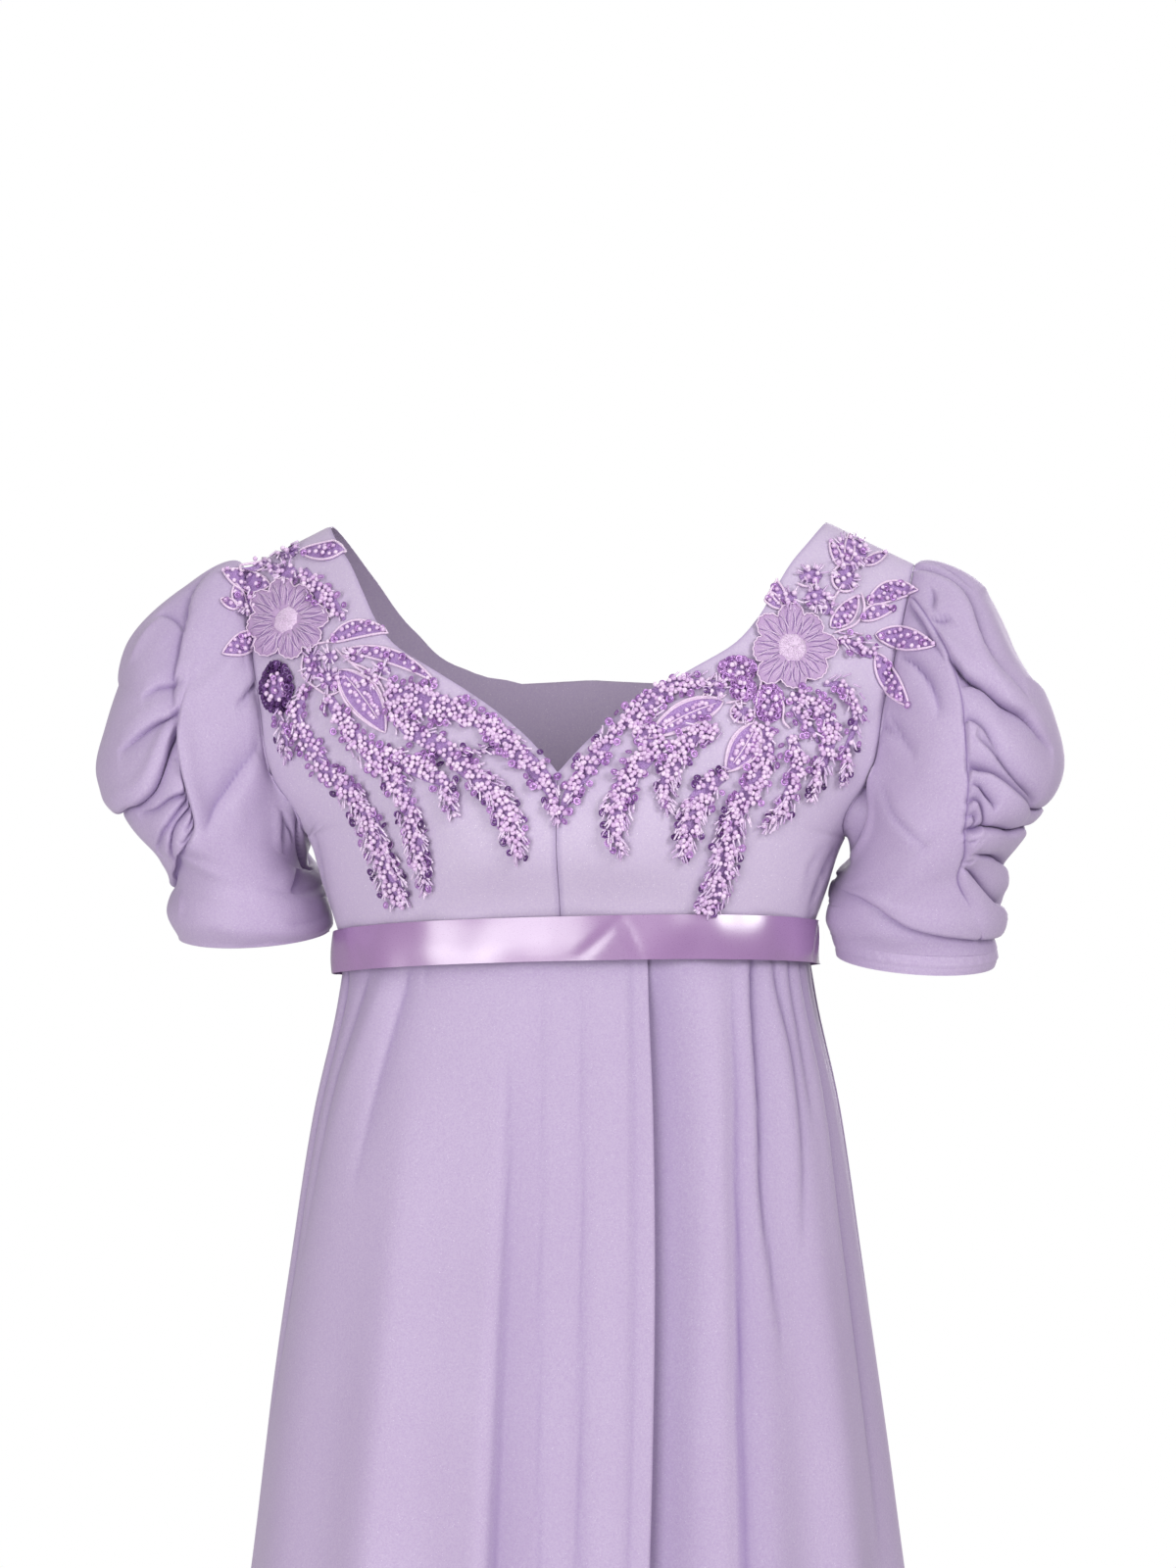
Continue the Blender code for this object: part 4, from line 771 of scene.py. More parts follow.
def edge_ditch(points, edges):
    """Where the cloth rolls in beside its seams, which are at these first or last rows or columns."""
    moved = np.zeros(points.shape[:2])
    for edge in edges:
        line = {"low": points[:1], "high": points[-1:], "start": points[:, :1], "end": points[:, -1:]}[edge]
        away = np.linalg.norm(points - line, axis=-1)
        moved = np.maximum(moved, np.exp(-((away / SEAM_DITCH_WIDTH) ** 2)))
    return moved


def bodice_levels(neckline, count):
    """Levels from the waist to the shoulder, closer where the neckline starts and at the shoulder."""
    low = np.linspace(0, neckline[0].t, count // 3, endpoint=False)
    up = np.linspace(0, 1, count - len(low))
    high = neckline[0].t + (1 - neckline[0].t) * (1 - (1 - up) ** SHOULDER_CROWDING)
    return np.concatenate([low, high])


def bodice_panel(name, side, behind, creases, material):
    """One quarter of the bodice."""
    neckline = BACK_NECK if behind else FRONT_NECK
    angles, levels = [], []
    for t in bodice_levels(neckline, BODICE_ROWS):
        start, end = bodice_edges(neckline, t)
        if behind:
            start, end = math.pi - start, math.pi - end
        row = evenly(start, end, BODICE_COLUMNS, lambda fine: bodice_surface(fine, np.full_like(fine, t)))
        angles.append(row)
        levels.append(np.full_like(row, t))
    angles, levels = np.array(angles), np.array(levels)
    flat = np.stack([angles * BODICE_RADIUS, levels * BODICE_HEIGHT], axis=-1) / MM
    scale = (math.radians(1) * BODICE_RADIUS / MM, BODICE_HEIGHT / MM)
    depth, _, shade = crease_field(flat, in_millimetres(across_first(creases), scale))
    uneven = ripple(flat, BROAD_RIPPLE, 2 + side.sign + 3 * behind) * BODICE_RIPPLE
    depth = depth + uneven * smoothstep(levels / 0.1)
    angles = angles * side.sign
    normals = normals_of(bodice_surface, angles, levels) * side.sign
    normals = normals * np.sign(np.sum(normals[0, 0] * np.array([0, 1 if behind else -1, 0])))
    points = bodice_surface(angles, levels)
    ditch = edge_ditch(points, ("low", "high", "end") if behind else ("low", "high", "end", "start"))
    depth, shade = depth + ditch * SEAM_DITCH, np.maximum(shade, ditch * SEAM_SHADE)
    points = points - normals * (SINK + depth)[..., None]
    half_gap, middle_gap = SEAM_GAP / 2, SEAM_GAP / (10 if behind else 2)
    points = points + np.array([side.sign * middle_gap, half_gap if behind else -half_gap, half_gap])
    return shell(name, points, grid_normals(points, normals), material, shade=shade)


SEAM_FADE, SEAM_HOLD = 2.2, 0.65  # how near its seam a sleeve's cloth is held flat, and how much
SEAM_PIT, SEAM_PIT_WIDTH = 0.0011, 1.7  # how deep, in metres, and wide, in millimetres, the seam is
PIT_SHADE, PIT_SHADE_WIDTH = 0.85, 0.8
SEAM_STILL = 3.0  # millimetres from the seam within which the cloth slides less, and rolls lean most
ROLL_RISE, ROLL_FALL = 2.2, 17.0  # millimetres from the seam in which a roll rises and falls
SLEEVE_RIPPLE, ARMHOLE_PIT, ARMHOLE_SHADE, ARMHOLE_REACH = 0.0009, 0.0010, 0.7, 0.012
# A sleeve's rows: the level that each stretch starts at, and how many rows it has.
LevelStretch = namedtuple("LevelStretch", "start rows")
LEVEL_STRETCHES = (
    LevelStretch(0.00, 26),
    LevelStretch(0.24, 176),
    LevelStretch(0.92, 14),
    LevelStretch(1.00, 1),
)
PUFF_BACK_COLUMNS, PUFF_FRONT_COLUMNS, PUFF_CROWDING = 38, 90, 1.3
UNDER_FRONT_COLUMNS, UNDER_BACK_COLUMNS, UNDER_CROWDING = 68, 22, 1.15
INNER_END = math.radians(188)
SEAM_CLEAR = 0.00002
BAND_COLUMNS, BAND_ROWS = 160, 13
HEM_STITCH_AT, HEM_STITCH_WIDTH, HEM_STITCH_DEPTH = 0.62, 0.05, 0.0006
BAND_GATHERS, GATHER_DEPTH = 46, 0.00025


def between(level, start, end, fade):
    """1 between two levels and 0 outside them, with a soft step inside each end."""
    return smoothstep((level - start) / fade) * (1 - smoothstep((level - end + fade) / fade))


def sleeve_field(side, around, w):
    """How far the sleeve's cloth lies in from its smooth form, how far it slides along it, its shade."""
    flat = np.stack([around * SLEEVE_RADIUS, w * SLEEVE_LENGTH], axis=-1) / MM
    girth = np.array([2 * math.pi * SLEEVE_RADIUS / MM, 0])
    scale = (math.radians(1) * SLEEVE_RADIUS / MM, SLEEVE_LENGTH / MM)
    seam = np.radians(curve(side.sleeve, "seam", w))
    is_puff = around < seam + 1e-6
    to_front, to_back = around - seam, 2 * math.pi - around - seam
    ahead = np.abs(to_front) < np.abs(to_back)
    distance = np.where(is_puff, seam - np.abs(around), np.minimum(to_front, to_back)) * SLEEVE_RADIUS / MM
    distance = np.maximum(distance, 0)
    held = np.exp(-((distance / SEAM_FADE) ** 2))
    own, other = 1 - SEAM_HOLD * held, (1 - SEAM_HOLD) * held
    depth, slid, shade = np.zeros_like(w), np.zeros_like(flat), np.zeros_like(w)
    for creases, share in (
        (side.creases, np.ones_like(held)),
        (side.puff_creases, np.where(is_puff, own, other)),
        (side.under_creases, np.where(is_puff, other, own)),
    ):
        for turn in (-girth, 0 * girth, girth):
            more, moved, darker = crease_field(flat + turn, in_millimetres(creases, scale))
            depth, slid = depth + more * share, slid + moved * share[..., None]
            shade = np.maximum(shade, darker * share)
    seen = between(w, *side.seam_seen, 0.06)
    depth = depth + SEAM_PIT * np.exp(-((distance / SEAM_PIT_WIDTH) ** 2)) * seen
    shade = np.maximum(shade, PIT_SHADE * np.exp(-((distance / PIT_SHADE_WIDTH) ** 2)) * seen)
    slid = slid * smoothstep(distance / SEAM_STILL)[..., None]
    for roll, here in ((side.puff_roll, is_puff), (side.under_roll, ~is_puff)):
        level = between(w, roll.start, roll.end, 0.10)
        rise = (1 - np.exp(-((distance / ROLL_RISE) ** 2))) * np.exp(-((distance / ROLL_FALL) ** 2))
        depth = depth - roll.height * MM * rise * level * here
        lean = roll.lean * MM * distance / SEAM_STILL * np.exp(1 - distance / SEAM_STILL) * level * here
        inward = np.where(is_puff, np.sign(around), np.where(ahead, -1.0, 1.0))
        slid = slid + np.stack([lean * inward, 0 * lean], axis=-1)
    depth = depth + ripple(flat, CLOSE_RIPPLE, 11 + side.sign) * SLEEVE_RIPPLE
    kept = (0.10 + 0.90 * smoothstep(w / 0.07)) * smoothstep((1 - w) / 0.02)
    at_armhole = np.exp(-((w / ARMHOLE_REACH) ** 2))
    depth, slid = depth * kept + ARMHOLE_PIT * at_armhole, slid * kept[..., None]
    return depth, slid, np.maximum(shade, ARMHOLE_SHADE * at_armhole)


def sleeve_panel(name, side, around, w, material):
    """Part of a sleeve whose points lie at these angles."""
    depth, slid, shade = sleeve_field(side, around, w)
    around = around + slid[..., 0] / SLEEVE_RADIUS
    w = np.clip(w + slid[..., 1] / SLEEVE_LENGTH, 0, 1)
    points = sleeve_surface(side, around, w)
    normals = normals_of(lambda u, v: sleeve_surface(side, u, v + LEVEL_STEP), around, w)
    at_armhole = normals_of(bodice_surface, *armhole_place(around))
    share = smoothstep(w / 0.12)[..., None]
    normals = unit(at_armhole * (1 - share) + normals * share)
    points = points - normals * (SINK + depth)[..., None]
    flip = np.array([side.sign, 1, 1])
    return shell(name, points * flip, grid_normals(points * flip, normals * flip), material, shade=shade)


def make_band(side, material):
    """A sleeve's hem band: gathers under the panels' edge, and a line of stitches."""
    around = np.linspace(0, 2 * math.pi, BAND_COLUMNS, endpoint=False)
    heights = np.linspace(0, 1, BAND_ROWS)
    edges = [ring_points(edge._asdict(), around) for edge in side.band]
    edges[0] = sleeve_surface(side, around, np.ones_like(around)) - np.array([0, 0, SEAM_CLEAR])
    steps = heights * 2
    low = np.minimum(steps.astype(int), 1)
    part = (steps - low)[:, None, None]
    edges = np.array(edges)
    rows = edges[low] * (1 - part) + edges[low + 1] * part
    across = np.roll(rows, -1, axis=1) - np.roll(rows, 1, axis=1)
    normals = unit(np.cross(rows[-1] - rows[0], across))
    outward = rows - rows.mean(axis=1, keepdims=True)
    normals = normals * np.sign(np.sum(normals * outward, axis=-1, keepdims=True))
    stitched = np.exp(-(((heights - HEM_STITCH_AT) / HEM_STITCH_WIDTH) ** 2))
    stitched = HEM_STITCH_DEPTH * stitched[:, None, None]
    gathers = GATHER_DEPTH * np.sin(around * BAND_GATHERS + 2.2 * np.sin(around * 5))[None, :, None]
    grown = smoothstep(heights / 0.2) * (1 - smoothstep((heights - 0.3) / 0.4))
    rows = rows - normals * (SINK + stitched + gathers * grown[:, None, None])
    flip = np.array([side.sign, 1, 1])
    return shell(f"band_{side.name}", rows * flip, normals * flip, material, closed=True)


def make_sleeve(side, material):
    """A sleeve's puff, its plain under panel and its band."""
    starts, counts = zip(*LEVEL_STRETCHES)
    stretches = zip(starts, starts[1:], counts)
    levels = [np.linspace(start, end, count, endpoint=False) for start, end, count in stretches]
    levels = np.concatenate(levels + [starts[-1:]])
    gap = SEAM_CLEAR / 2 / SLEEVE_RADIUS
    seam = np.radians(curve(side.sleeve, "seam", levels))[:, None]
    w = levels[:, None]
    behind = -np.linspace(1, 0, PUFF_BACK_COLUMNS, endpoint=False)
    front = 1 - (1 - np.linspace(0, 1, PUFF_FRONT_COLUMNS)) ** PUFF_CROWDING
    puff = np.concatenate([behind, front])[None, :] * (seam - gap)
    ahead = np.linspace(0, 1, UNDER_FRONT_COLUMNS, endpoint=False)[None, :] ** UNDER_CROWDING
    ahead = seam + gap + (INNER_END - seam - gap) * ahead
    back = np.linspace(0, 1, UNDER_BACK_COLUMNS)[None, :]
    back = INNER_END + (2 * math.pi - seam - gap - INNER_END) * back
    under = np.concatenate([ahead, back], axis=1)
    return [
        sleeve_panel(f"puff_{side.name}", side, puff, w + 0 * puff, material),
        sleeve_panel(f"under_{side.name}", side, under, w + 0 * under, material),
        make_band(side, material),
    ]


# Columns beside the knife pleat: millimetres past its edge, and the share of the drop behind it.
PLEAT_LINE = (
    (-3.0, 0.0),
    (-1.2, 0.0),
    (-0.3, 0.03),
    (0.25, 0.14),
    (0.3, 0.26),
    (-0.2, 0.36),
    (-1.6, 0.42),
    (-4.0, 0.46),
    (-6.4, 0.52),
    (-7.2, 0.66),
    (-6.6, 0.82),
    (-4.4, 0.92),
    (-1.6, 0.98),
    (1.2, 1.0),
    (3.4, 1.0),
)
SKIRT_ROWS, SKIRT_CROWDING = 96, 1.45
SKIRT_BACK_COLUMNS, COLUMNS_BEFORE_PLEAT, COLUMNS_AFTER_PLEAT = 78, 118, 76
SKIRT_RIPPLE, RIPPLE_STRETCH = 0.0012, 0.28
LEAST_DROP = 0.0030
WAIST_PIT, WAIST_PIT_HEIGHT = 0.0006, 0.003  # how far the cloth rolls in under the ribbon
WAIST_SHADE, WAIST_SHADE_HEIGHT, PLEAT_SHADE = 0.6, 16, 0.40


def skirt_front_columns(down, gap):
    """Shares of the way round the front, crowded at the pleat, and the share of its drop at each."""
    edge = PLEAT_AT_WAIST + (PLEAT_AT_HEM - PLEAT_AT_WAIST) * down
    past, drop = np.array(PLEAT_LINE).T
    fold = edge + past * MM / WAIST_GIRTH
    before = np.linspace(0, 1, COLUMNS_BEFORE_PLEAT)[None, :-1] * (fold[:, :1] + 0.25 - gap) - 0.25 + gap
    after = np.linspace(0, 1, COLUMNS_AFTER_PLEAT)[None, 1:] * (0.25 - gap - fold[:, -1:]) + fold[:, -1:]
    drop_after = smoothstep(1 - (after - fold[:, -1:]) / PLEAT_REACH)
    dropped = np.concatenate([0 * before, drop[None, :] + 0 * down, drop_after], axis=1)
    return np.concatenate([before, fold, after], axis=1), dropped


def make_skirt(material):
    """The front and back of the skirt. A knife pleat folds back on itself, left of the centre."""
    down = np.linspace(0, 1, SKIRT_ROWS)[:, None] ** SKIRT_CROWDING
    gap = SEAM_GAP / 2 / WAIST_GIRTH
    pieces = []
    for name, start, creases in (
        ("skirt_front", None, SKIRT_CREASES),
        ("skirt_back_left", 0.25, BACK_SKIRT_CREASES),
        ("skirt_back_right", 0.50, BACK_SKIRT_CREASES),
    ):
        if start is None:
            shares, dropped = skirt_front_columns(down, gap)
        else:
            shares = np.linspace(start + gap, start + 0.25 - gap, SKIRT_BACK_COLUMNS)[None, :] + 0 * down
            dropped = np.zeros_like(shares)
        wide = down + 0 * shares
        flat = np.stack([shares * WAIST_GIRTH, wide * SKIRT_DROP], axis=-1) / MM
        scale = (WAIST_GIRTH / MM, SKIRT_DROP / MM)
        depth, _, shade = crease_field(flat, in_millimetres(across_first(creases), scale))
        uneven = ripple(flat * np.array([1.0, RIPPLE_STRETCH]), BROAD_RIPPLE, 21) * SKIRT_RIPPLE
        depth = depth + uneven * smoothstep(down / 0.05)
        drop = PLEAT_STEP + PLEAT_TROUGH * wide - LEAST_DROP
        drop = LEAST_DROP + drop * smoothstep((wide - 0.012) / 0.03)
        near_waist = smoothstep((wide - 0.004) / 0.02)
        moved = skirt_folds(shares, wide) - dropped * drop - depth * (0.15 + 0.85 * near_waist) - SINK
        moved = moved - WAIST_PIT * np.exp(-((wide * SKIRT_DROP / WAIST_PIT_HEIGHT) ** 2))
        points = skirt_surface(shares, wide, moved)
        points = points - np.array([0, 0, SEAM_GAP / 2]) * (wide[..., None] == 0)
        normals = grid_normals(points, unit(points * np.array([1, 1, 0])))
        at_waist = np.exp(-((wide * SKIRT_DROP / MM / WAIST_SHADE_HEIGHT) ** 2))
        shade = np.maximum(np.maximum(shade, WAIST_SHADE * at_waist), PLEAT_SHADE * dropped)
        pieces.append(shell(f"{name}_cloth", points, normals, material, shade=shade))
    return pieces


RIBBON_COLUMNS, RIBBON_ROWS = 320, 13
RIBBON_CLOTH, RIBBON_CLEAR, RIBBON_RADIUS = 0.0006, 0.0010, 0.115
RIBBON_ROUND, RIBBON_FLARE = 0.0012, 0.0025  # how far its middle, and its lower edge, stand out more
# Its waves: their height, their length round the gown and their phase.
RIBBON_WAVES = ((0.0005, 0.083, 0.8), (0.0003, 0.031, 0.0))
RIBBON_LEAN = (0.0006, 0.057, 1.9)
# Slanted creases of the ribbon: metres round from the front, width, depth and lean.
RIBBON_CREASES = (
    (0.012, 0.0030, 0.0009, 0.016),
    (0.024, 0.0022, 0.0006, -0.010),
    (0.056, 0.0070, 0.0006, 0.006),
    (-0.110, 0.0040, 0.0006, -0.014),
    (0.160, 0.0040, 0.0008, 0.012),
    (-0.200, 0.0050, 0.0007, 0.016),
    (0.250, 0.0050, 0.0007, -0.012),
    (-0.290, 0.0040, 0.0008, -0.010),
)


def waist_points(angles):
    """Points of the bodice's lower edge."""
    return bodice_surface(angles, np.zeros_like(angles))


def make_ribbon(material):
    """The satin ribbon over the empire seam, with the slight waves that catch the light."""
    angles = evenly(0, 2 * math.pi, RIBBON_COLUMNS + 1, waist_points)[:-1]
    half = RIBBON_HEIGHT / 2
    level = np.full_like(angles, half / (RIDGE_AT_CENTRE - WAIST_Z))
    high = bodice_surface(angles, level)
    flat_out = unit(normals_of(bodice_surface, angles, level) * np.array([1, 1, 0]))
    turn = (angles + math.pi) % (2 * math.pi) - math.pi
    shares = np.interp(turn, SHARE_ANGLES, SHARES)
    down = np.full_like(shares, half / (WAIST_Z - HEM_Z))
    low = skirt_surface(shares, down, skirt_folds(shares, down))
    top, bottom = high + flat_out * RIBBON_LIFT, low + flat_out * RIBBON_LIFT
    top[:, 2] = waist_z(angles, top[:, 0]) + half
    bottom[:, 2] = waist_z(angles, bottom[:, 0]) - half
    up = np.linspace(0, 1, RIBBON_ROWS)[:, None, None]
    rows = bottom * (1 - up) + top * up + flat_out * RIBBON_CLEAR
    girth = turn * RIBBON_RADIUS
    *waves, lean = (
        height * np.sin(girth * 2 * math.pi / length + phase)
        for height, length, phase in (*RIBBON_WAVES, RIBBON_LEAN)
    )
    rise = (1 - (2 * up - 1) ** 2) * RIBBON_ROUND + (1 - up) * RIBBON_FLARE
    rise = rise + sum(waves)[None, :, None] + lean[None, :, None] * (2 * up - 1)
    slant = np.zeros((RIBBON_ROWS, RIBBON_COLUMNS))
    for where, width, depth, tilt in RIBBON_CREASES:
        away = girth[None, :] - where - (up[..., 0] - 0.5) * tilt
        slant = slant + depth * np.exp(-((away / width) ** 2)) * np.sin(math.pi * up[..., 0]) ** 0.5
    rows = rows + flat_out * (rise - slant[..., None])
    normals = grid_normals(rows, np.stack([flat_out] * RIBBON_ROWS), closed=True)
    return shell("ribbon", rows, normals, material, RIBBON_CLOTH, closed=True)


# ---- Materials ----------------------------------------------------------------------------------


class Nodes:
    """A material's node tree, with short calls that make and join nodes."""

    def __init__(self, name):
        self.material = bpy.data.materials.new(name)
        self.material.use_nodes = True
        self.tree = self.material.node_tree
        self.shader = self.tree.nodes["Principled BSDF"]

    def add(self, kind, inputs=None, **settings):
        node = self.tree.nodes.new(kind)
        for key, value in settings.items():
            setattr(node, key, value)
        for key, value in (inputs or {}).items():
            self.put(node.inputs[key], value)
        return node

    def put(self, socket, value):
        if isinstance(value, bpy.types.NodeSocket):
            self.tree.links.new(value, socket)
        else:
            socket.default_value = value

    def set(self, **inputs):
        for key, value in inputs.items():
            self.put(self.shader.inputs[key.replace("_", " ")], value)

    def apart(self):
        """A random value for each separate bead or sequin."""
        return self.add("ShaderNodeNewGeometry").outputs["Random Per Island"]

    def place(self, scale=(1, 1, 1)):
        """Object coordinates, stretched."""
        source = self.add("ShaderNodeTexCoord").outputs["Object"]
        return self.add("ShaderNodeMapping", {"Vector": source, "Scale": scale}).outputs[0]

    def noise(self, where, scale, detail=2.0, roughness=0.5):
        inputs = {"Vector": where, "Scale": scale, "Detail": detail, "Roughness": roughness}
        return self.add("ShaderNodeTexNoise", inputs).outputs["Fac"]

    def cells(self, where, scale, feature="F1"):
        return self.add("ShaderNodeTexVoronoi", {"Vector": where, "Scale": scale}, feature=feature)

    def spread(self, value, low, high, to_low=0.0, to_high=1.0):
        inputs = {0: value, 1: low, 2: high, 3: to_low, 4: to_high}
        return self.add("ShaderNodeMapRange", inputs).outputs[0]

    def maths(self, operation, *values):
        return self.add("ShaderNodeMath", dict(enumerate(values)), operation=operation).outputs[0]

    def mix(self, share, one, other):
        node = self.add("ShaderNodeMix", data_type="RGBA")
        for key, value in ((0, share), (6, one), (7, other)):
            self.put(node.inputs[key], value)
        return node.outputs[2]

    def bump(self, height, strength, distance, normal=None):
        inputs = {"Height": height, "Strength": strength, "Distance": distance}
        if normal is not None:
            inputs["Normal"] = normal
        return self.add("ShaderNodeBump", inputs).outputs[0]


def colour(red, green, blue):
    """An opaque linear colour from the usual 0 to 255 numbers."""
    parts = [value / 255 for value in (red, green, blue)]
    linear = [part / 12.92 if part < 0.04045 else ((part + 0.055) / 1.055) ** 2.4 for part in parts]
    return (*linear, 1.0)


# The colours of the painted glints and of the painted shade in creases.
PAINTED_GLINT, CREASE_SHADE = colour(250, 244, 253), colour(106, 76, 142)


def crepe_material(name, dark, light, grained, glint_share):
    """Matte lilac crepe: a fine pebbled grain, a soft sheen, painted glints and painted shade in its
    creases and at its seams.
    """
    made = Nodes(name)
    where = made.place()
    patches = made.spread(made.noise(where, 9, 3), 0.3, 0.7)
    base = made.mix(patches, dark, light)
    grain = made.noise(where, 900, 3, 0.75)
    base = made.mix(made.spread(grain, 0.35, 0.65, 0.0, 0.55), base, grained)
    # Painted glints: tiny white flecks mixed into the base colour.
    flecks = made.cells(where, 900)
    lit = made.maths("LESS_THAN", flecks.outputs["Distance"], 0.16)
    chosen = made.maths("GREATER_THAN", made.noise(where, 420, 1), 0.60)
    glint_mask = made.maths("MULTIPLY", lit, chosen)
    base = made.mix(made.maths("MULTIPLY", glint_mask, glint_share), base, PAINTED_GLINT)
    # Painted shade: the shade attribute darkens the cloth in its creases, at seams, round the armholes,
    # under the ribbon and beside the pleat.
    shade = made.add("ShaderNodeAttribute", attribute_name="shade").outputs["Fac"]
    base = made.mix(made.maths("MULTIPLY", shade, 0.72), base, CREASE_SHADE)
    slubs = made.noise(made.place((260, 260, 1700)), 1.0, 2)
    normal = made.bump(grain, 0.20, 0.0003)
    normal = made.bump(slubs, 0.10, 0.0003, normal)
    normal = made.bump(made.noise(where, 130, 3), 0.12, 0.0008, normal)
    made.set(Base_Color=base, Normal=normal, Roughness=made.spread(grain, 0.3, 0.7, 0.50, 0.70))
    made.set(Sheen_Weight=0.20, Sheen_Roughness=0.45, Sheen_Tint=(1.0, 0.96, 1.0, 1.0))
    return made.material


def satin_material():
    """Glossy lilac satin: fine cross threads and soft, broad highlights."""
    made = Nodes("lilac_satin")
    where = made.place()
    patches = made.spread(made.noise(where, 14, 2), 0.35, 0.65)
    base = made.mix(patches, colour(148, 104, 160), colour(162, 118, 173))
    threads = made.noise(made.place((900, 900, 5200)), 1.0, 2, 0.6)
    base = made.mix(made.spread(threads, 0.3, 0.7, 0.0, 0.25), base, colour(126, 84, 146))
    normal = made.bump(threads, 0.10, 0.0002)
    made.set(Base_Color=base, Normal=normal, Roughness=made.spread(threads, 0.3, 0.7, 0.26, 0.36))
    made.set(Sheen_Weight=0.2, Sheen_Roughness=0.3, Anisotropic=0.4, Specular_IOR_Level=1.0, IOR=1.8)
    made.set(Coat_Weight=0.8, Coat_Roughness=0.26)
    return made.material


def net_material():
    """Fine purple net, lying on the cloth."""
    made = Nodes("lace_net")
    where = made.place()
    cells = made.cells(where, 950, "DISTANCE_TO_EDGE").outputs["Distance"]
    thread = made.spread(cells, 0.05, 0.16, 1.0, 0.0)
    patch = made.noise(where, 60, 3)
    open_cell = made.mix(patch, colour(174, 142, 196), colour(188, 158, 208))
    base = made.mix(thread, open_cell, colour(154, 114, 180))
    made.set(Base_Color=base, Normal=made.bump(thread, 0.5, 0.0003))
    made.set(Roughness=made.spread(thread, 0, 1, 0.7, 0.5))
    return made.material


def bead_material():
    """Pale lilac pearls, no two of quite one colour."""
    made = Nodes("lace_pearl")
    base = made.mix(made.apart(), colour(202, 160, 212), colour(238, 214, 240))
    cloud = made.noise(made.place(), 900, 2)
    base = made.mix(made.spread(cloud, 0.35, 0.65, 0.0, 0.3), base, colour(232, 214, 234))
    made.set(Base_Color=base, Roughness=made.spread(cloud, 0.3, 0.7, 0.16, 0.28))
    made.set(Normal=made.bump(cloud, 0.10, 0.0002), Coat_Weight=0.5, Coat_Roughness=0.10)
    return made.material


def sequin_material(name, dark, light):
    """Cupped plastic sequins with a soft metal shine."""
    made = Nodes(name)
    cloud = made.noise(made.place(), 700, 2)
    base = made.mix(made.apart(), dark, light)
    base = made.mix(made.spread(cloud, 0.35, 0.7, 0.0, 0.5), base, light)
    made.set(Base_Color=base, Roughness=made.spread(cloud, 0.3, 0.7, 0.20, 0.34), Metallic=0.35)
    made.set(Normal=made.bump(cloud, 0.12, 0.0002), Coat_Weight=0.6, Coat_Roughness=0.12)
    return made.material


def bugle_material():
    """Short glass tubes, pale and glossy."""
    made = Nodes("lace_bugle")
    base = made.mix(made.apart(), colour(190, 156, 204), colour(236, 216, 240))
    streak = made.noise(made.place(), 1200, 2)
    made.set(Base_Color=base, Roughness=made.spread(streak, 0.3, 0.7, 0.12, 0.26))
    made.set(Coat_Weight=0.7, Coat_Roughness=0.08)
    return made.material


def thread_material(name, dark, light, scale):
    """Twisted rayon thread."""
    made = Nodes(name)
    where = made.place()
    strands = made.noise(where, scale, 2, 0.7)
    base = made.mix(made.spread(strands, 0.35, 0.65), dark, light)
    made.set(Base_Color=base, Normal=made.bump(strands, 0.45, 0.0003))
    made.set(Roughness=made.spread(strands, 0.3, 0.7, 0.36, 0.52), Sheen_Weight=0.3)
    return made.material


def petal_material():
    """Sheer mauve organza, closely stitched."""
    made = Nodes("lace_petal")
    where = made.place()
    weave = made.noise(where, 1700, 2, 0.6)
    patch = made.noise(where, 120, 3)
    base = made.mix(made.spread(patch, 0.3, 0.7), colour(164, 130, 178), colour(182, 150, 192))
    base = made.mix(made.spread(weave, 0.35, 0.65, 0.0, 0.4), base, colour(202, 174, 208))
    made.set(Base_Color=base, Normal=made.bump(weave, 0.4, 0.0003))
    made.set(Roughness=made.spread(weave, 0.3, 0.7, 0.45, 0.62), Sheen_Weight=0.3)
    return made.material


# ---- Lace ---------------------------------------------------------------------------------------

# The lace is set out in the photograph's own pixels, and the cloth carries it: a ray from the camera
# through each pixel finds its place on the cloth. Widths and radii are in pixels of 0.58 mm too.

# A strand of beads: its route, with its width at each point, and from what share of it bugles show.
Strand = namedtuple("Strand", "route bugles_from", defaults=(0.55,))
# A leaf from its base to its tip, its width, and how far its middle bows to one side of that line.
Leaf = namedtuple("Leaf", "base tip width bow fill", defaults=("dense",))
# A round or oval cluster of beads. A ringed one has sequins round it, a dark one deep purple ones.
Cluster = namedtuple("Cluster", "x y half_width half_height kind", defaults=("plain",))
# A flower: its middle, its radius, that of its stitched middle, and how far round it is turned.
Flower = namedtuple("Flower", "x y radius disc turn")

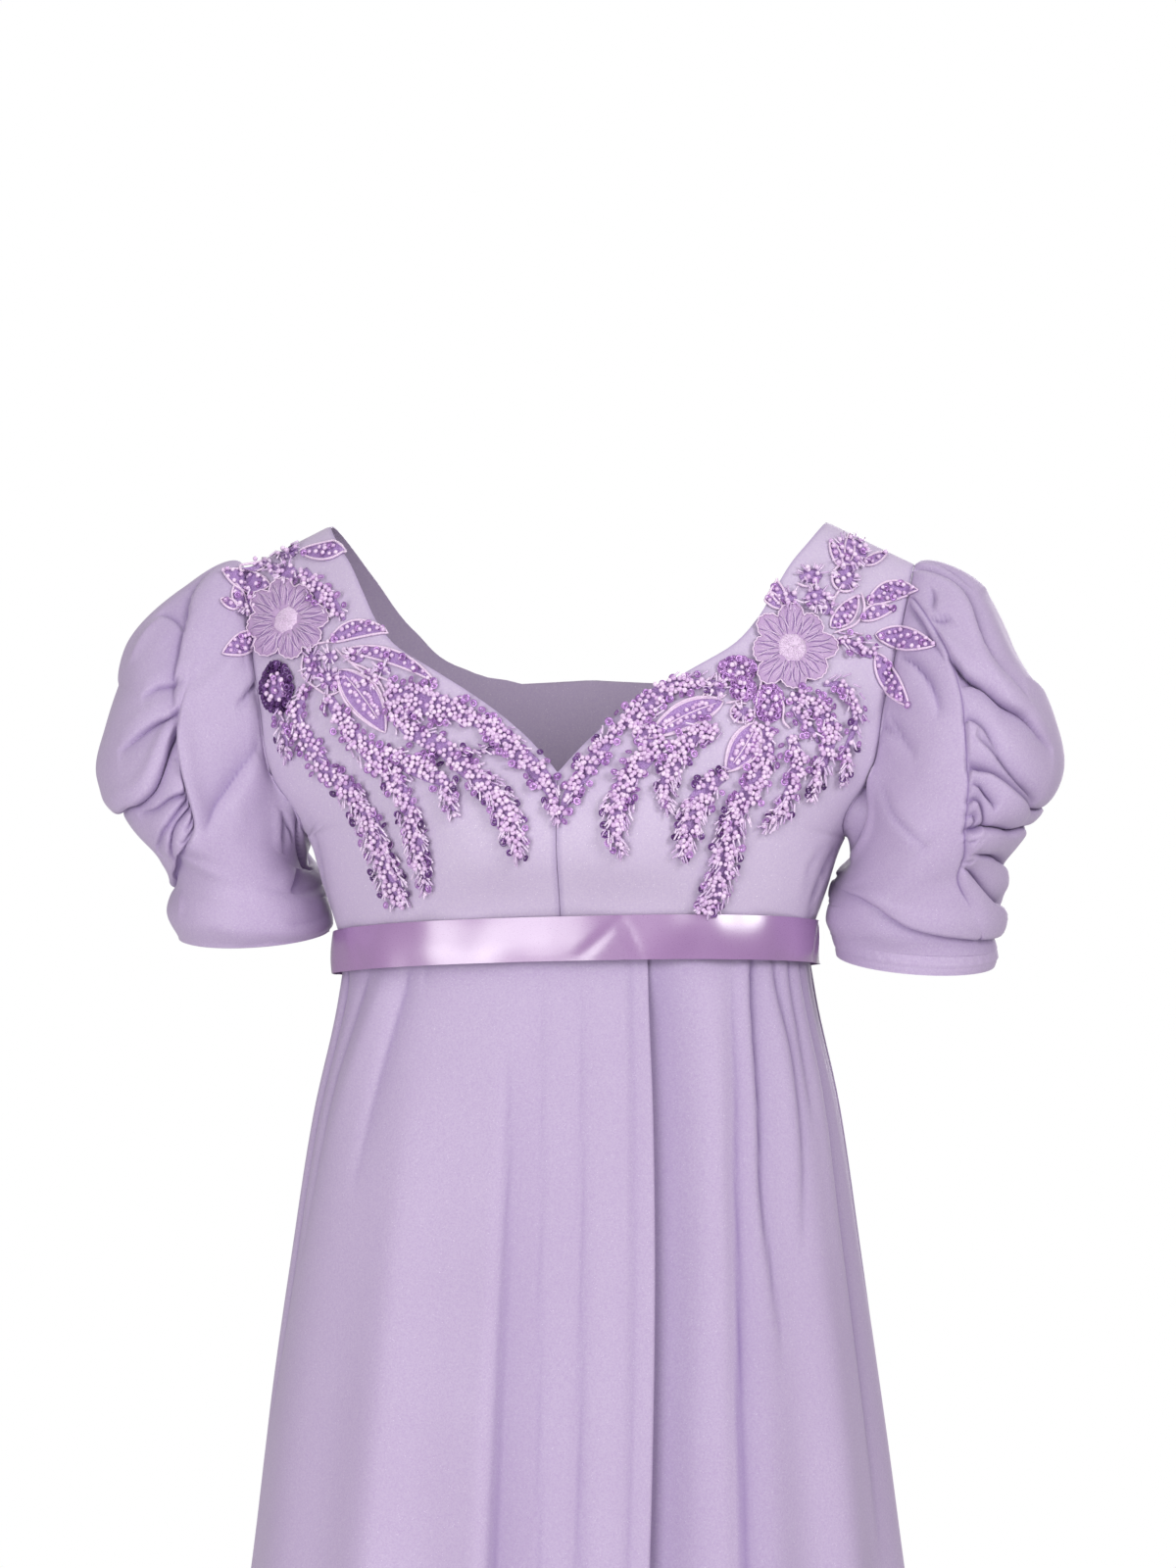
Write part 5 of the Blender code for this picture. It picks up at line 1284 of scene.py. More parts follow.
RIGHT_STRANDS = (
    Strand((
        (310, 703, 16), (305, 735, 20), (321, 765, 22), (336, 788, 23), (354, 803, 24), (369, 823, 25),
        (382, 846, 25), (391, 872, 26), (402, 901, 27), (409, 924, 20),
    ), 0.50),
    Strand((
        (336, 712, 18), (350, 735, 22), (366, 756, 24), (385, 775, 27), (401, 792, 26), (412, 812, 22),
        (421, 835, 22), (426, 858, 22), (431, 882, 18), (437, 911, 8),
    ), 0.62),
    Strand((
        (386, 768, 22), (412, 779, 24), (438, 790, 25), (454, 799, 20), (460, 818, 16), (466, 834, 8),
    ), 0.72),
    Strand((
        (404, 716, 22), (412, 738, 24), (431, 752, 26), (455, 765, 27), (472, 782, 26), (492, 798, 25),
        (508, 815, 26), (519, 835, 26), (526, 855, 22), (531, 877, 8),
    ), 0.52),
    Strand(((464, 768, 12), (485, 767, 9), (506, 768, 10)), 2.0),
    Strand((
        (396, 706, 24), (418, 714, 34), (444, 720, 34), (478, 731, 25), (506, 746, 22), (528, 767, 26),
        (548, 787, 26), (563, 808, 22), (569, 832, 14), (571, 842, 6),
    ), 0.86),
    Strand(((309, 583, 20), (322, 600, 22), (338, 616, 22), (352, 633, 12)), 2.0),
    Strand(((288, 728, 8), (291, 748, 14), (294, 764, 10), (297, 776, 4)), 0.5),
)
RIGHT_LEAVES = (
    Leaf((306, 564), (364, 549), 17, -0.10),
    Leaf((277, 598), (227, 583), 22, 0.06),
    Leaf((262, 645), (227, 668), 21, 0.06),
    Leaf((250, 622), (240, 596), 12, 0.10),
    Leaf((336, 656), (398, 646), 18, 0.14),
    Leaf((352, 664), (446, 698), 14, 0.10),
    Leaf((347, 684), (394, 748), 35, 0.04, "open"),
    Leaf((243, 621), (225, 612), 9, 0.0),
)
RIGHT_CLUSTERS = (
    Cluster(291, 562, 15, 11),
    Cluster(262, 572, 12, 11, "corded"),
    Cluster(294, 586, 12, 11),
    Cluster(281, 582, 8, 9),
    Cluster(252, 617, 12, 13),
    Cluster(284, 702, 15, 24, "dark"),
    Cluster(320, 679, 10, 17),
    Cluster(338, 671, 9, 8),
    Cluster(337, 694, 12, 13),
    Cluster(364, 671, 10, 8),
    Cluster(378, 693, 9, 12),
    Cluster(392, 684, 9, 7),
)
RIGHT_STEMS = (
    ((343, 662), (358, 676), (376, 684), (390, 700), (398, 722), (402, 735)),
    ((311, 668), (310, 690), (323, 702), (338, 710), (348, 706)),
    ((352, 668), (366, 683), (384, 690), (402, 697)),
    ((305, 652), (318, 658), (336, 656)),
    ((290, 600), (276, 606), (258, 612)),
)
LEFT_STRANDS = (
    Strand((
        (571, 841, 6), (576, 822, 16), (589, 798, 23), (604, 778, 24), (617, 761, 21), (630, 743, 15),
        (645, 734, 22), (660, 721, 27), (674, 706, 25), (693, 699, 20), (712, 698, 18), (728, 696, 12),
    ), 2.0),
    Strand((
        (652, 742, 24), (668, 760, 27), (654, 778, 27), (641, 795, 27), (632, 818, 27), (628, 838, 25),
        (631, 860, 16), (636, 872, 6),
    ), 0.60),
    Strand((
        (732, 744, 18), (716, 748, 24), (700, 758, 25), (690, 772, 27), (683, 789, 24), (678, 808, 19),
        (682, 831, 7),
    ), 0.60),
    Strand((
        (743, 791, 14), (727, 798, 24), (713, 815, 27), (704, 829, 26), (701, 846, 25), (697, 862, 20),
        (693, 876, 8),
    ), 0.42),
    Strand((
        (777, 741, 24), (780, 765, 28), (773, 788, 28), (763, 811, 27), (750, 829, 27), (743, 852, 27),
        (737, 875, 28), (733, 898, 27), (724, 918, 24), (715, 930, 16),
    ), 0.45),
    Strand((
        (806, 751, 18), (813, 772, 21), (810, 795, 20), (803, 812, 18), (796, 829, 18), (784, 839, 14),
        (776, 845, 6),
    ), 0.62),
    Strand((
        (805, 711, 20), (827, 718, 24), (843, 732, 20), (847, 752, 20), (840, 775, 20), (833, 792, 17),
        (826, 815, 6),
    ), 0.68),
    Strand(((808, 722, 16), (824, 740, 17), (835, 758, 9)), 2.0),
    Strand((
        (840, 699, 12), (859, 699, 15), (871, 720, 16), (871, 742, 14), (863, 765, 13), (861, 785, 10),
        (858, 799, 5),
    ), 0.80),
    Strand(((857, 652, 14), (874, 661, 20), (890, 669, 16)), 2.0),
)
LEFT_LEAVES = (
    Leaf((801, 619), (787, 587), 13, 0.05),
    Leaf((797, 622), (775, 604), 12, -0.05),
    Leaf((884, 617), (938, 603), 20, 0.12),
    Leaf((877, 633), (912, 622), 15, 0.08),
    Leaf((892, 648), (954, 660), 23, 0.03),
    Leaf((893, 667), (929, 722), 21, -0.04),
    Leaf((847, 641), (875, 608), 19, -0.06),
    Leaf((738, 716), (661, 754), 28, -0.05, "open"),
    Leaf((772, 738), (740, 788), 30, 0.04, "open"),
    Leaf((858, 580), (846, 552), 9, 0.0),
    Leaf((866, 574), (866, 545), 10, 0.0),
    Leaf((880, 577), (905, 565), 10, 0.0),
)
LEFT_CLUSTERS = (
    Cluster(866, 566, 20, 18),
    Cluster(827, 588, 14, 9),
    Cluster(862, 591, 13, 13, "corded"),
    Cluster(806, 612, 9, 10),
    Cluster(833, 612, 14, 14),
    Cluster(844, 622, 8, 8),
    Cluster(752, 684, 17, 11, "ringed"),
    Cluster(731, 702, 12, 10, "corded"),
    Cluster(757, 704, 11, 10, "ringed"),
    Cluster(784, 718, 13, 18, "ringed"),
    Cluster(757, 728, 11, 9, "corded"),
)
LEFT_STEMS = (
    ((778, 688), (774, 706), (770, 722), (768, 738)),
    ((766, 690), (758, 696), (742, 694), (726, 700), (716, 712)),
    ((740, 718), (752, 716), (764, 708), (772, 700)),
    ((794, 706), (799, 722), (799, 738), (806, 744)),
    ((878, 606), (881, 622), (874, 636), (850, 647)),
    ((850, 655), (862, 650), (880, 648)),
    ((812, 596), (822, 600), (832, 597)),
    ((857, 602), (850, 612), (848, 622)),
)
FLOWERS = {
    "right": Flower(294, 634, 41, 14, 0.15),
    "left": Flower(807.5, 662, 43, 14.5, 0.05),
}
LACE = {
    "right": (RIGHT_STRANDS, RIGHT_LEAVES, RIGHT_CLUSTERS, RIGHT_STEMS),
    "left": (LEFT_STRANDS, LEFT_LEAVES, LEFT_CLUSTERS, LEFT_STEMS),
}
EYE = np.array([VIEW_DISTANCE * math.sin(VIEW_TURN), -VIEW_DISTANCE * math.cos(VIEW_TURN), VIEW_Z])
RIGHTWARD = np.array([math.cos(VIEW_TURN), math.sin(VIEW_TURN), 0])
FORWARD = np.array([-math.sin(VIEW_TURN), math.cos(VIEW_TURN), 0])
BEAD_RADIUS, SMALL_BEAD_RADIUS, SEQUIN_RADIUS = 0.00154, 0.00138, 0.0023
BEAD_SQUASH = 0.92
# How far apart things lie: in bead radii, and sequins in pixels.
LOW_BEADS_APART, HIGH_BEADS_APART, SEQUINS_APART = 2.4, 3.6, 9.0
# The ranges that sizes are drawn from, as shares of the usual size.
BEAD_SIZES, SPRIG_SIZES, SEQUIN_SIZES, BUGLE_SIZES = (0.84, 1.10), (0.86, 1.08), (0.85, 1.10), (0.75, 1.15)
# How far out from the net beads sit, in bead radii, and other things, in metres.
LOW_BEADS, SPRIG_BEADS, HIGH_BEADS, TOP_BEADS = (0.9, 1.6), (1.1, 1.9), (2.2, 2.7), (2.3, 2.8)
SEQUINS_BETWEEN, SEQUINS_SHOWN = (0.0010, 0.0030), (0.0011, 0.0020)
SEQUINS_AT_EDGE, SEQUINS_IN_RING = (0.0022, 0.0036), (0.0008, 0.0022)
BUGLES_OUT, BUGLES_TIPPED = (0.0016, 0.0040), (0.05, 0.35)
SPRIG_STEP, SPRIG_WIDTH = 8.0, 15  # pixels between sprigs, and the width that a strand needs for them
MANY_BUGLES, FEW_BUGLES = 0.95, 0.14  # bugles to a pixel of a strand's later and earlier parts
HEAPS = ("beads", "sequins", "dark", "bugles", "cords", "petals", "threads", "shaded")
MOST_MISSED = 0.0016  # how far past the cloth a bead may sit
BUGLE_RADIUS, BUGLE_LENGTH = 0.00056, 0.0054
CORD_RADIUS, FINE_CORD_RADIUS = 0.00085, 0.00050
EDGE_LIFT, INNER_LIFT, OVAL_LIFT, STEM_LIFT = 0.0012, 0.0010, 0.0014, 0.0016  # of a cord's middle
NET_LIFT, NET_CLOTH = 0.0005, 0.0003
NET_STEP = 5.0  # pixels between the net's inner points
FRONTMOST = 0.05  # a face whose normal's y is less than this faces the camera


class Carrier:
    """Finds where a pixel's ray meets the cloth pieces that carry the lace."""

    def __init__(self, pieces):
        points, faces = [], []
        for piece in pieces:
            first = len(points)
            points += [tuple(vertex.co) for vertex in piece.data.vertices]
            outer = (face for face in piece.data.polygons if face.normal.y < 0.1)
            faces += [[first + i for i in face.vertices] for face in outer]
        self.tree = BVHTree.FromPolygons(points, faces)

    def __call__(self, x, y):
        """The place on the cloth behind a pixel, and the direction out of it.

        A ray that passes the cloth's edge gives the nearest cloth, and missed says how far off it was.
        """
        ray = FORWARD * VIEW_DISTANCE + RIGHTWARD * (x - MIDDLE_PIXEL) * PIXEL
        ray = ray + np.array([0, 0, (IMAGE_HEIGHT / 2 - y) * PIXEL])
        hit, normal, _, _ = self.tree.ray_cast(Vector(EYE), Vector(ray))
        self.missed = 0.0
        if hit is not None and normal.y < FRONTMOST:
            return np.array(hit), np.array(normal)
        place = EYE + ray * (1.0 - 0.05 / VIEW_DISTANCE)
        for _ in range(4):
            near, normal, _, _ = self.tree.find_nearest(Vector(place))
            place = EYE + ray * ((np.array(near) - EYE) @ FORWARD / VIEW_DISTANCE)
        near = np.array(near)
        self.missed = np.linalg.norm(place - near)
        place = near + (place - near) * min(1.0, MOST_MISSED / max(self.missed, 1e-9))
        return place, unit(np.array([normal.x * 0.3, -1, 0.3]))


class Heap:
    """Points and faces that pile up into one piece."""

    def __init__(self):
        self.points, self.faces, self.count = [], [], 0

    def add(self, points, faces):
        self.points.append(np.asarray(points))
        self.faces += [tuple(self.count + i for i in face) for face in faces]
        self.count += len(points)

    def piece(self, name, material):
        return new_piece(name, np.concatenate(self.points), self.faces, material)


def ball_form():
    """A unit ball of 80 triangles."""
    cloth = bmesh.new()
    bmesh.ops.create_icosphere(cloth, subdivisions=2, radius=1.0)
    points = np.array([tuple(vertex.co) for vertex in cloth.verts])
    faces = [tuple(vertex.index for vertex in face.verts) for face in cloth.faces]
    cloth.free()
    return points, faces


def turned_form(profile, around):
    """A closed profile of radius and height, turned round the z axis."""
    turn = np.linspace(0, 2 * math.pi, around, endpoint=False)
    radius, height = np.array(profile).T
    spokes = (np.cos(turn), np.sin(turn), turn * 0 + 1)
    points = np.stack([np.outer(part, size) for part, size in zip(spokes, (radius, radius, height))], -1)
    count = len(profile)
    faces = []
    for i in range(around):
        for k in range(count):
            beside, above = (i + 1) % around, (k + 1) % count
            faces.append((i * count + k, beside * count + k, beside * count + above, i * count + above))
    return points.reshape(-1, 3), faces


BALL = ball_form()
SEQUIN = turned_form(((0.24, 0.0), (0.62, 0.06), (1.0, 0.27), (0.98, 0.33), (0.60, 0.13), (0.24, 0.07)), 10)
BUGLE = turned_form(((0.45, -1.0), (1.0, -0.94), (1.0, 0.94), (0.45, 1.0)), 6)


def frame_on(normal, twist):
    """Three directions, the last of them the normal, turned round it."""
    side = unit(np.cross(normal, [0.1, 0.2, 1.0]))
    other = np.cross(normal, side)
    cosine, sine = math.cos(twist), math.sin(twist)
    return np.array([side * cosine + other * sine, other * cosine - side * sine, normal])


def put_form(heap, form, place, axes, sizes):
    """Adds a form at a place, stretched by its sizes and turned to its axes."""
    heap.add(place + (form[0] * np.asarray(sizes)) @ axes, form[1])


def tube(heap, route, radius, sides=6, taper=0.35):
    """A closed cord along a route of points, thinner at its ends."""
    route = np.asarray(route)
    ahead = unit(np.gradient(route, axis=0))
    side = unit(np.cross(ahead, [0.05, -1.0, 0.1]))
    other = np.cross(ahead, side)
    along = np.linspace(0, 1, len(route))
    thick = radius * (taper + (1 - taper) * np.clip(np.minimum(along, 1 - along) * 8, 0, 1) ** 0.5)
    turn = np.linspace(0, 2 * math.pi, sides, endpoint=False)
    ring = side[:, None] * np.cos(turn)[None, :, None] + other[:, None] * np.sin(turn)[None, :, None]
    points = (route[:, None] + ring * thick[:, None, None]).reshape(-1, 3)
    faces = [
        (i * sides + k, i * sides + (k + 1) % sides, (i + 1) * sides + (k + 1) % sides, (i + 1) * sides + k)
        for i in range(len(route) - 1)
        for k in range(sides)
    ]
    last = (len(route) - 1) * sides
    faces += [tuple(range(sides))[::-1], tuple(last + k for k in range(sides))]
    heap.add(points, faces)


Column = namedtuple("Column", "at value")


def smooth_route(corners, step):
    """A smooth line through pixels, with a point every so many pixels."""
    corners = np.array(corners, float)
    steps = run_lengths(corners[:, :2])
    at = np.linspace(0, steps[-1], max(4, int(steps[-1] / step) + 1))
    columns = ([Column(*row) for row in zip(steps, column)] for column in corners.T)
    return np.stack([curve(rows, "value", at) for rows in columns], axis=-1)


def within(points, outline):
    """Which of the flat points lie inside an outline."""
    inside = np.zeros(len(points), bool)
    for start, end in zip(outline, np.roll(outline, -1, axis=0)):
        crosses = (start[1] > points[:, 1]) != (end[1] > points[:, 1])
        rise = end[1] - start[1] if end[1] != start[1] else 1e-9
        at = start[0] + (points[:, 1] - start[1]) / rise * (end[0] - start[0])
        inside ^= crosses & (points[:, 0] < at)
    return inside


def strand_outline(strand, grown=0.0):
    """The outline of a strand, grown by so many pixels."""
    route = smooth_route(strand.route, 6.0)
    ahead = np.gradient(route[:, :2], axis=0)
    across = np.stack([-ahead[:, 1], ahead[:, 0]], axis=-1) / np.linalg.norm(ahead, axis=1, keepdims=True)
    half = np.maximum(route[:, 2:3] / 2 + grown, 1.6)
    return np.concatenate([route[:, :2] + across * half, (route[:, :2] - across * half)[::-1]])


def leaf_lines(leaf, count=26):
    """A leaf's middle line and its two edges, from its base to its tip."""
    base, tip = np.array(leaf.base, float), np.array(leaf.tip, float)
    along = tip - base
    across = np.array([along[1], -along[0]])
    share = np.linspace(0, 1, count)[:, None]
    middle = base + along * share + across * leaf.bow * 4 * share * (1 - share)
    half = leaf.width / 2 * np.sin(math.pi * share**0.85) ** 0.85
    out = across / np.linalg.norm(across)
    return middle, middle + out * half, middle - out * half


def leaf_outline(leaf, grown=0.0):
    """The outline of a leaf, grown by so many pixels."""
    _, one, other = leaf_lines(leaf._replace(width=leaf.width + 2 * grown), 14)
    return np.concatenate([one, other[-2:0:-1]])


def oval_outline(x, y, half_width, half_height, count=16):
    turn = np.linspace(0, 2 * math.pi, count, endpoint=False)
    return np.stack([x + half_width * np.cos(turn), y + half_height * np.sin(turn)], axis=-1)


def scatter(outline, apart, random, taken, tries=14):
    """Pixels inside an outline, each at least so far from the others and from those already taken."""
    low, high = outline.min(axis=0), outline.max(axis=0)
    area = (high - low).prod()
    found = []
    spots = random.uniform(low, high, (int(area / apart**2 * tries), 2))
    spots = spots[within(spots, outline)]
    grid = defaultdict(list)
    for spot in taken:
        grid[int(spot[0] // apart), int(spot[1] // apart)].append(spot)
    for spot in spots:
        column, row = int(spot[0] // apart), int(spot[1] // apart)
        cells = [(column + i, row + k) for i in (-1, 0, 1) for k in (-1, 0, 1)]
        close = (other for cell in cells if cell in grid for other in grid[cell])
        if all((spot[0] - other[0]) ** 2 + (spot[1] - other[1]) ** 2 > apart**2 for other in close):
            grid[column, row].append(spot)
            found.append(spot)
    taken.extend(found)
    return found


PETAL_EDGE_POWER, PETAL_LIFT_POWER = 0.55, 0.5  # how blunt the petals are, seen flat and from the side


def petal_lobe(flower, turn, power):
    """1 at the middle of each of the eight petals and 0 between them."""
    return np.abs(np.cos(turn * 4 + flower.turn * 4)) ** power


def flower_edge(flower, turn):
    """A flower's radius at an angle: eight uneven, scalloped petals."""
    uneven = 1 + 0.05 * np.sin(turn * 3 + 1.0) + 0.035 * np.sin(turn * 5 + 2.0)
    nicks = 0.015 * np.sin(turn * 41)
    lobes = petal_lobe(flower, turn, PETAL_EDGE_POWER)
    return flower.radius * (0.75 + 0.25 * lobes + nicks) * uneven


def make_net(name, outlines, carrier, material):
    """The net that all the motifs are sewn to."""
    points, edges = [], []
    for outline in outlines:
        first = len(points)
        edges += [(first + i, first + (i + 1) % len(outline)) for i in range(len(outline))]
        points += list(outline)
    low, high = np.min(points, axis=0), np.max(points, axis=0)
    grid = np.meshgrid(*(np.arange(start, end, NET_STEP) for start, end in zip(low, high)))
    spots = np.stack([part.ravel() for part in grid], axis=-1)
    inside = np.any([within(spots, outline) for outline in outlines], axis=0)
    rim = np.array(points)
    spots = [spot for spot in spots[inside] if np.linalg.norm(rim - spot, axis=1).min() > NET_STEP * 0.45]
    places, _, faces, *_ = geometry.delaunay_2d_cdt([Vector(p) for p in points + spots], edges, [], 0, 1e-4)
    places = np.array([tuple(place) for place in places])
    middles = np.array([places[list(face)].mean(axis=0) for face in faces])
    kept = np.any([within(middles, outline) for outline in outlines], axis=0)
    faces = [face for face, keep in zip(faces, kept) if keep]
    used = sorted({i for face in faces for i in face})
    renamed = {old: new for new, old in enumerate(used)}
    faces = [tuple(renamed[i] for i in face) for face in faces]
    found = [carrier(*places[i]) for i in used]
    base = np.array([place for place, _ in found])
    normals = np.zeros_like(base)
    for face in faces:
        a, b, c = base[list(face)]
        turned = np.cross(b - a, c - a)
        normals[list(face)] += turned if turned[1] < 0 else -turned
    normals = unit(normals)
    count = len(base)
    outer, inner = base + normals * (NET_LIFT + NET_CLOTH), base + normals * NET_LIFT
    first = base[list(faces[0])]
    if np.cross(first[1] - first[0], first[2] - first[0])[1] > 0:
        faces = [face[::-1] for face in faces]
    sides = Counter((face[i - 1], face[i]) for face in faces for i in range(3))
    rims = [side for side in sides if (side[1], side[0]) not in sides]
    solid = list(faces) + [tuple(count + i for i in face[::-1]) for face in faces]
    solid += [(b, a, count + a, count + b) for a, b in rims]
    return new_piece(name, np.concatenate([outer, inner]), solid, material)


PETAL_ROWS = (0.20, 0.34, 0.48, 0.62, 0.76, 0.88, 0.96, 1.0)  # shares of the flower's radius
PETAL_COLUMNS, PETAL_LIFT, PETAL_CLOTH, PETAL_RISE, PETAL_TIP = 160, 0.0014, 0.0004, 0.0012, 0.0008
STITCHES, STITCH_LIFT, STITCH_RADIUS, DARK_STITCH_RADIUS = 112, 0.0015, 0.00022, 0.00030
RIM_LIFT, RIM_RADIUS = 0.0026, 0.00045
MIDDLE_STITCHES, MIDDLE_STITCH_RADIUS, RING_RADIUS = 150, 0.00024, 0.00042
DOME_LIFT, MIDDLE_STITCH_LIFT, RING_LIFT = 0.0016, 0.0017, 0.0019
DOME_HEIGHT = 0.315
DOME = (
    (1.0, 0.0), (0.97, 0.10), (0.80, 0.21), (0.50, 0.28), (0.20, 0.31), (0.0, DOME_HEIGHT), (0.0, 0.0),
)


def petal_lift(flower, angle, share, base):
    """How far out a flower's petals stand at an angle and a share of their radius."""
    lobe = petal_lobe(flower, angle, PETAL_LIFT_POWER)
    return base + PETAL_RISE * lobe * math.sin(math.pi * share) + PETAL_TIP * share


def flower_place(flower, carrier, angle, reach):
    """The cloth's place and the direction out of it, at an angle and so many pixels from the middle."""
    return carrier(flower.x + reach * math.cos(angle), flower.y + reach * math.sin(angle))


def make_petals(flower, carrier, heap):
    """A flower's scalloped sheet of organza."""
    turn = np.linspace(0, 2 * math.pi, PETAL_COLUMNS, endpoint=False)
    edge = flower_edge(flower, turn)
    outside, inside = [], []
    for share in PETAL_ROWS:
        for angle, radius in zip(turn, edge):
            place, normal = flower_place(flower, carrier, angle, radius * share)
            lift = petal_lift(flower, angle, share, PETAL_LIFT)
            outside.append(place + normal * lift)
            inside.append(place + normal * (lift - PETAL_CLOTH))
    count, inner = len(turn), len(turn) * len(PETAL_ROWS)
    faces = []
    for row in range(len(PETAL_ROWS) - 1):
        for k in range(count):
            a, b = row * count + k, row * count + (k + 1) % count
            faces.append((a, b, b + count, a + count))
            faces.append((inner + a + count, inner + b + count, inner + b, inner + a))
    last = (len(PETAL_ROWS) - 1) * count
    for k in range(count):
        b = (k + 1) % count
        faces.append((b, k, inner + k, inner + b))
        faces.append((last + k, last + b, inner + last + b, inner + last + k))
    heap.add(outside + inside, faces)


def make_stitches(flower, carrier, heaps, random):
    """The radial stitches over a flower's petals. Every third one is dark."""
    for k in range(STITCHES):
        angle = (k + random.uniform(-0.25, 0.25)) / STITCHES * 2 * math.pi
        edge = float(flower_edge(flower, np.array(angle)))
        start = random.uniform(0.34, 0.50) if k % 2 else 0.36
        line = []
        for share in np.linspace(start, random.uniform(0.86, 0.97), 6):
            bent = angle + 0.05 * math.sin(share * 9 + k)
            place, normal = flower_place(flower, carrier, bent, edge * share)
            line.append(place + normal * petal_lift(flower, bent, share, STITCH_LIFT))
        name, radius = ("shaded", DARK_STITCH_RADIUS) if k % 3 == 0 else ("threads", STITCH_RADIUS)
        tube(heaps[name], line, radius, 4)


def make_middle(flower, carrier, heaps, random):
    """A flower's middle: a dome, covered in crossed stitches, in a corded ring."""
    middle, out = carrier(flower.x, flower.y)
    axes = frame_on(out, 0.0)
    width = flower.disc * PIXEL
    put_form(heaps["threads"], turned_form(DOME, 40), middle + out * DOME_LIFT, axes, [width] * 3)
    for _ in range(MIDDLE_STITCHES):
        angle, share = random.uniform(0, 2 * math.pi), math.sqrt(random.uniform(0.0, 0.9))
        lean = angle + random.uniform(-0.5, 0.5)
        line = []
        for step in np.linspace(-1, 1, 4):
            spot = np.array([math.cos(angle) * share, math.sin(angle) * share])
            spot = spot + np.array([math.cos(lean), math.sin(lean)]) * step * 0.15
            far = min(np.hypot(*spot), 0.985)
            spot = spot / max(np.hypot(*spot), 1e-6) * far
            height = DOME_HEIGHT * math.sqrt(1 - far**2) ** 0.9
            place = np.array([spot[0], spot[1], height]) * width
            line.append(middle + out * MIDDLE_STITCH_LIFT + place @ axes)
        tube(heaps["threads"], line, MIDDLE_STITCH_RADIUS, 4)
    ring = [
        middle + out * RING_LIFT + np.array([math.cos(turn) * width, math.sin(turn) * width, 0]) @ axes
        for turn in np.linspace(0, 2 * math.pi, 48)
    ]
    tube(heaps["cords"], ring, RING_RADIUS, 5, 1.0)


def make_flower(flower, carrier, heaps, random):
    """An organza flower with scalloped petals, radial stitches, a corded edge and a stitched middle."""
    make_petals(flower, carrier, heaps["petals"])
    make_stitches(flower, carrier, heaps, random)
    rim = []
    for angle in np.linspace(0, 2 * math.pi, 150):
        place, normal = flower_place(flower, carrier, angle, float(flower_edge(flower, np.array(angle))))
        rim.append(place + normal * RIM_LIFT)
    tube(heaps["cords"], rim, RIM_RADIUS, 5, 1.0)
    make_middle(flower, carrier, heaps, random)


def lifted(route, carrier, lift):
    """A line through pixels, set on the cloth and so far out from it."""
    found = [carrier(*spot[:2]) for spot in route]
    line = np.array([place + normal * lift for place, normal in found])
    line[1:-1] = (line[:-2] + 2 * line[1:-1] + line[2:]) / 4
    return line


